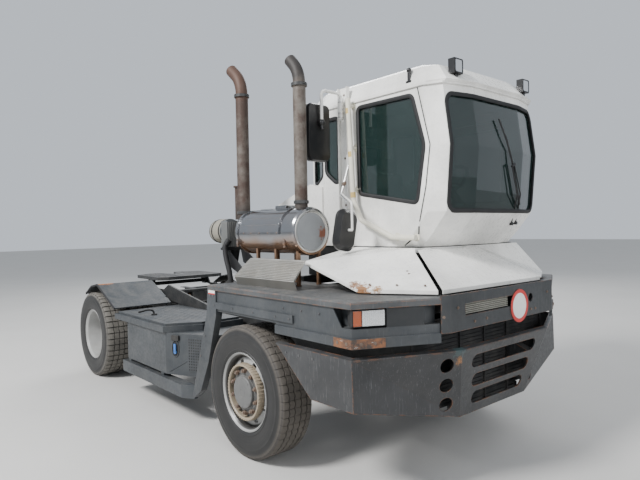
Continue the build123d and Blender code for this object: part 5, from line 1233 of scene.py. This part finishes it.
def make_box_end():
    """Cover, oval recess with its valve, fold and perforated plate."""
    latch = end_plate(square(0.080, 0.165, 0.712, 0.762), -0.001, 0.021)
    latch.done("box_latch", "dark_plastic", "black_and_shade", bevel=0.003)
    oval, rim = ([(0.117 + width * c, 0.633 + height * s) for c, s in circle(32)]
                 for width, height in ((0.036, 0.074), (0.043, 0.081)))
    edge = Shape().stack(on_end, (-0.001, rim), (0.006, rim), (0.006, oval), (-0.001, oval), close=True)
    edge.done("valve_rim", "fender_grey", "fender_grey")
    # The recess's floor is painted shade
    end_plate(oval, -0.001, 0.0012).done("valve_recess", "fender_grey", "black_and_shade")
    valve = end_plate(square(0.104, 0.130, 0.606, 0.680), 0.006, 0.018)
    valve.rod(on_end(0.0, 0.117, 0.600), on_end(0.014, 0.117, 0.600), 0.016, 20)
    valve.done("blue_valve", "dark_plastic", "valve_blue", bevel=0.003)
    fold = Shape().tube([on_end(0.0, 0.045, 0.412), on_end(0.0, 0.245, 0.520)], 0.0045, 8)
    fold.done("box_fold", "fender_grey", "fender_grey")
    panel = end_plate(square(0.262, 0.500, 0.430, 0.745), 0.0005, 0.0055)
    panel.done("vent_plate", "fender_grey", "fender_grey", bevel=0.001)
    # Dark discs for the plate's holes: painted shade in them
    holes = Shape()
    for k in range(9):
        for m in range(12):
            foot = on_end(0.0, 0.278 + HOLE_PITCH * k, 0.448 + HOLE_PITCH * m)
            holes.studs(foot, END_OUT, (0.004, 0.0062, 0.0080, 12))
    holes.done("vent_holes", "fender_grey", "black_and_shade")


def make_side_details():
    plate = Shape().blocks((-0.484, -0.382, -1.2520, -1.2496, 1.2215, 1.2520))
    plate.done("blank_side_plate", "black_paint", "sign_white")
    line = Shape().blocks((-0.484, -0.382, -1.2526, -1.2518, 1.2215, 1.2310))
    line.done("blank_side_band", "black_paint", "sign_red")
    rivets = Shape()
    for side in (-1, 1):
        for y, size, high, places in RIVETS:
            for x, z in places:
                rivets.bolt(at(x, side * y, z), (0, side, 0), size, high)
    rivets.done("side_rivets", "black_paint", "dull_bolt")
    lever = Shape().tube(smoothed([at(*point) for point in LEVER_PATH], 5), 0.010, 12)
    lever.rod(at(-2.010, -1.050, 0.858), at(-2.010, -1.050, 0.872), 0.030, 24)
    lever.done("platform_lever", "dark_plastic", "black_and_shade")
    # Grip strips on the platform and on the left steps
    grip = Shape()
    for k in range(13):
        x = -2.540 + 0.090 * k
        for m in range(7 if x < -1.50 else 4):
            y = -0.560 - 0.090 * m
            grip.blocks((x, x + 0.030, y - 0.004, y + 0.004, 0.8598, 0.8620),
                        (x + 0.056, x + 0.064, y - 0.060, y - 0.030, 0.8598, 0.8620))
    grip.done("platform_grip", "fender_grey", "worn_tread")
    grip = Shape()
    for z in (0.440, 0.740, 1.040):
        for k in range(12):
            x = -1.165 + 0.0285 * k
            for m in range(5):
                y = 0.930 + 0.055 * m
                grip.blocks((x, x + 0.012, y, y + 0.038, z - 0.0004, z + 0.0030))
    grip.done("step_grip", "fender_grey", "worn_tread")
    # Fenders: rubber side edge
    edge = Shape()
    for side in (-1, 1):
        for ends in zip(FENDER_LINE, FENDER_LINE[1:]):
            edge.rings([[at(x - WHEELBASE, side * y, z + up) for y, up in square(1.2400, 1.2510, -0.017, 0.004)]
                        for x, z in ends])
    edge.done("fender_edges", "dark_plastic", "rubber")
    # Fuel tank: straps and cap
    straps = Shape()
    for x in (1.250 - WHEELBASE, -1.480):
        straps.stack(at, (x, STRAP_OUTER), (x + 0.045, STRAP_OUTER), (x + 0.045, STRAP_INNER), (x, STRAP_INNER),
                     close=True)
    straps.done("tank_straps", "fender_grey", "dull_bolt")
    foot = at(-1.800, 1.060, 0.8995)
    cap = Shape().rod(foot, foot + UP * 0.022, 0.052, 32)
    cap.rod(foot + UP * 0.020, foot + UP * 0.044, 0.043, 16, tip=0.038)
    cap.done("tank_cap", "dark_plastic", "black_and_shade", bevel=0.002)


# Fifth wheel: its middle, from the front axle, and the plate's top. Then the bolts along the rails behind it.
COUPLER_X = -WHEELBASE - 0.180
COUPLER_TOP = 1.150
COUPLER_BOLTS = [(-0.30, 0.20), (-0.30, 0.36), (0.28, 0.20), (0.28, 0.33), (0.0, 0.42)]
RAIL_BOLTS = [(-WHEELBASE - 0.740 + 0.500 * k / 15, z) for k in range(16) for z in (0.700, 0.850)]
COUPLER_RING = [(0.029, -0.006), (0.029, 0.0015), (0.064, 0.0015), (0.064, -0.001)]


def make_coupler_details():
    middle = at(COUPLER_X, 0, COUPLER_TOP)
    grease, bolts, rails = Shape(), Shape(), Shape()
    for side in (-1, 1):
        for k in range(4):
            y = side * (0.165 + 0.075 * k)
            grease.blocks((COUPLER_X - 0.250, COUPLER_X + 0.260, y - 0.004, y + 0.004,
                           COUPLER_TOP - 0.0004, COUPLER_TOP + 0.0012))
        for x, y in COUPLER_BOLTS:
            bolts.studs(middle + Vector((x, side * y, 0)), UP, (-0.001, 0.002, 0.014, 6))
        for x, z in RAIL_BOLTS:
            rails.bolt(at(x, side * 0.4152, z), (0, side, 0), 0.010, 0.005)
    grease.done("coupler_grease", "boom_steel", "black_and_shade", "fifth_wheel")
    Shape().lathe(COUPLER_RING, middle, UP, 48).done("coupler_ring", "boom_steel", "worn_tread", "fifth_wheel")
    bolts.done("coupler_bolts", "boom_steel", "dull_bolt", "fifth_wheel")
    rails.done("rail_bolts", "chassis", "dull_bolt")


make_camera()
make_stage()
MATERIALS = make_materials()
dress_nodes()
make_tyres()
make_wheel_details()
make_window_seals()
make_sign()
make_nose()
make_lamps()
make_cab_details()
make_mirror_details()
make_seat()
make_dash()
make_exhaust_details()
make_box_end()
make_side_details()
make_coupler_details()
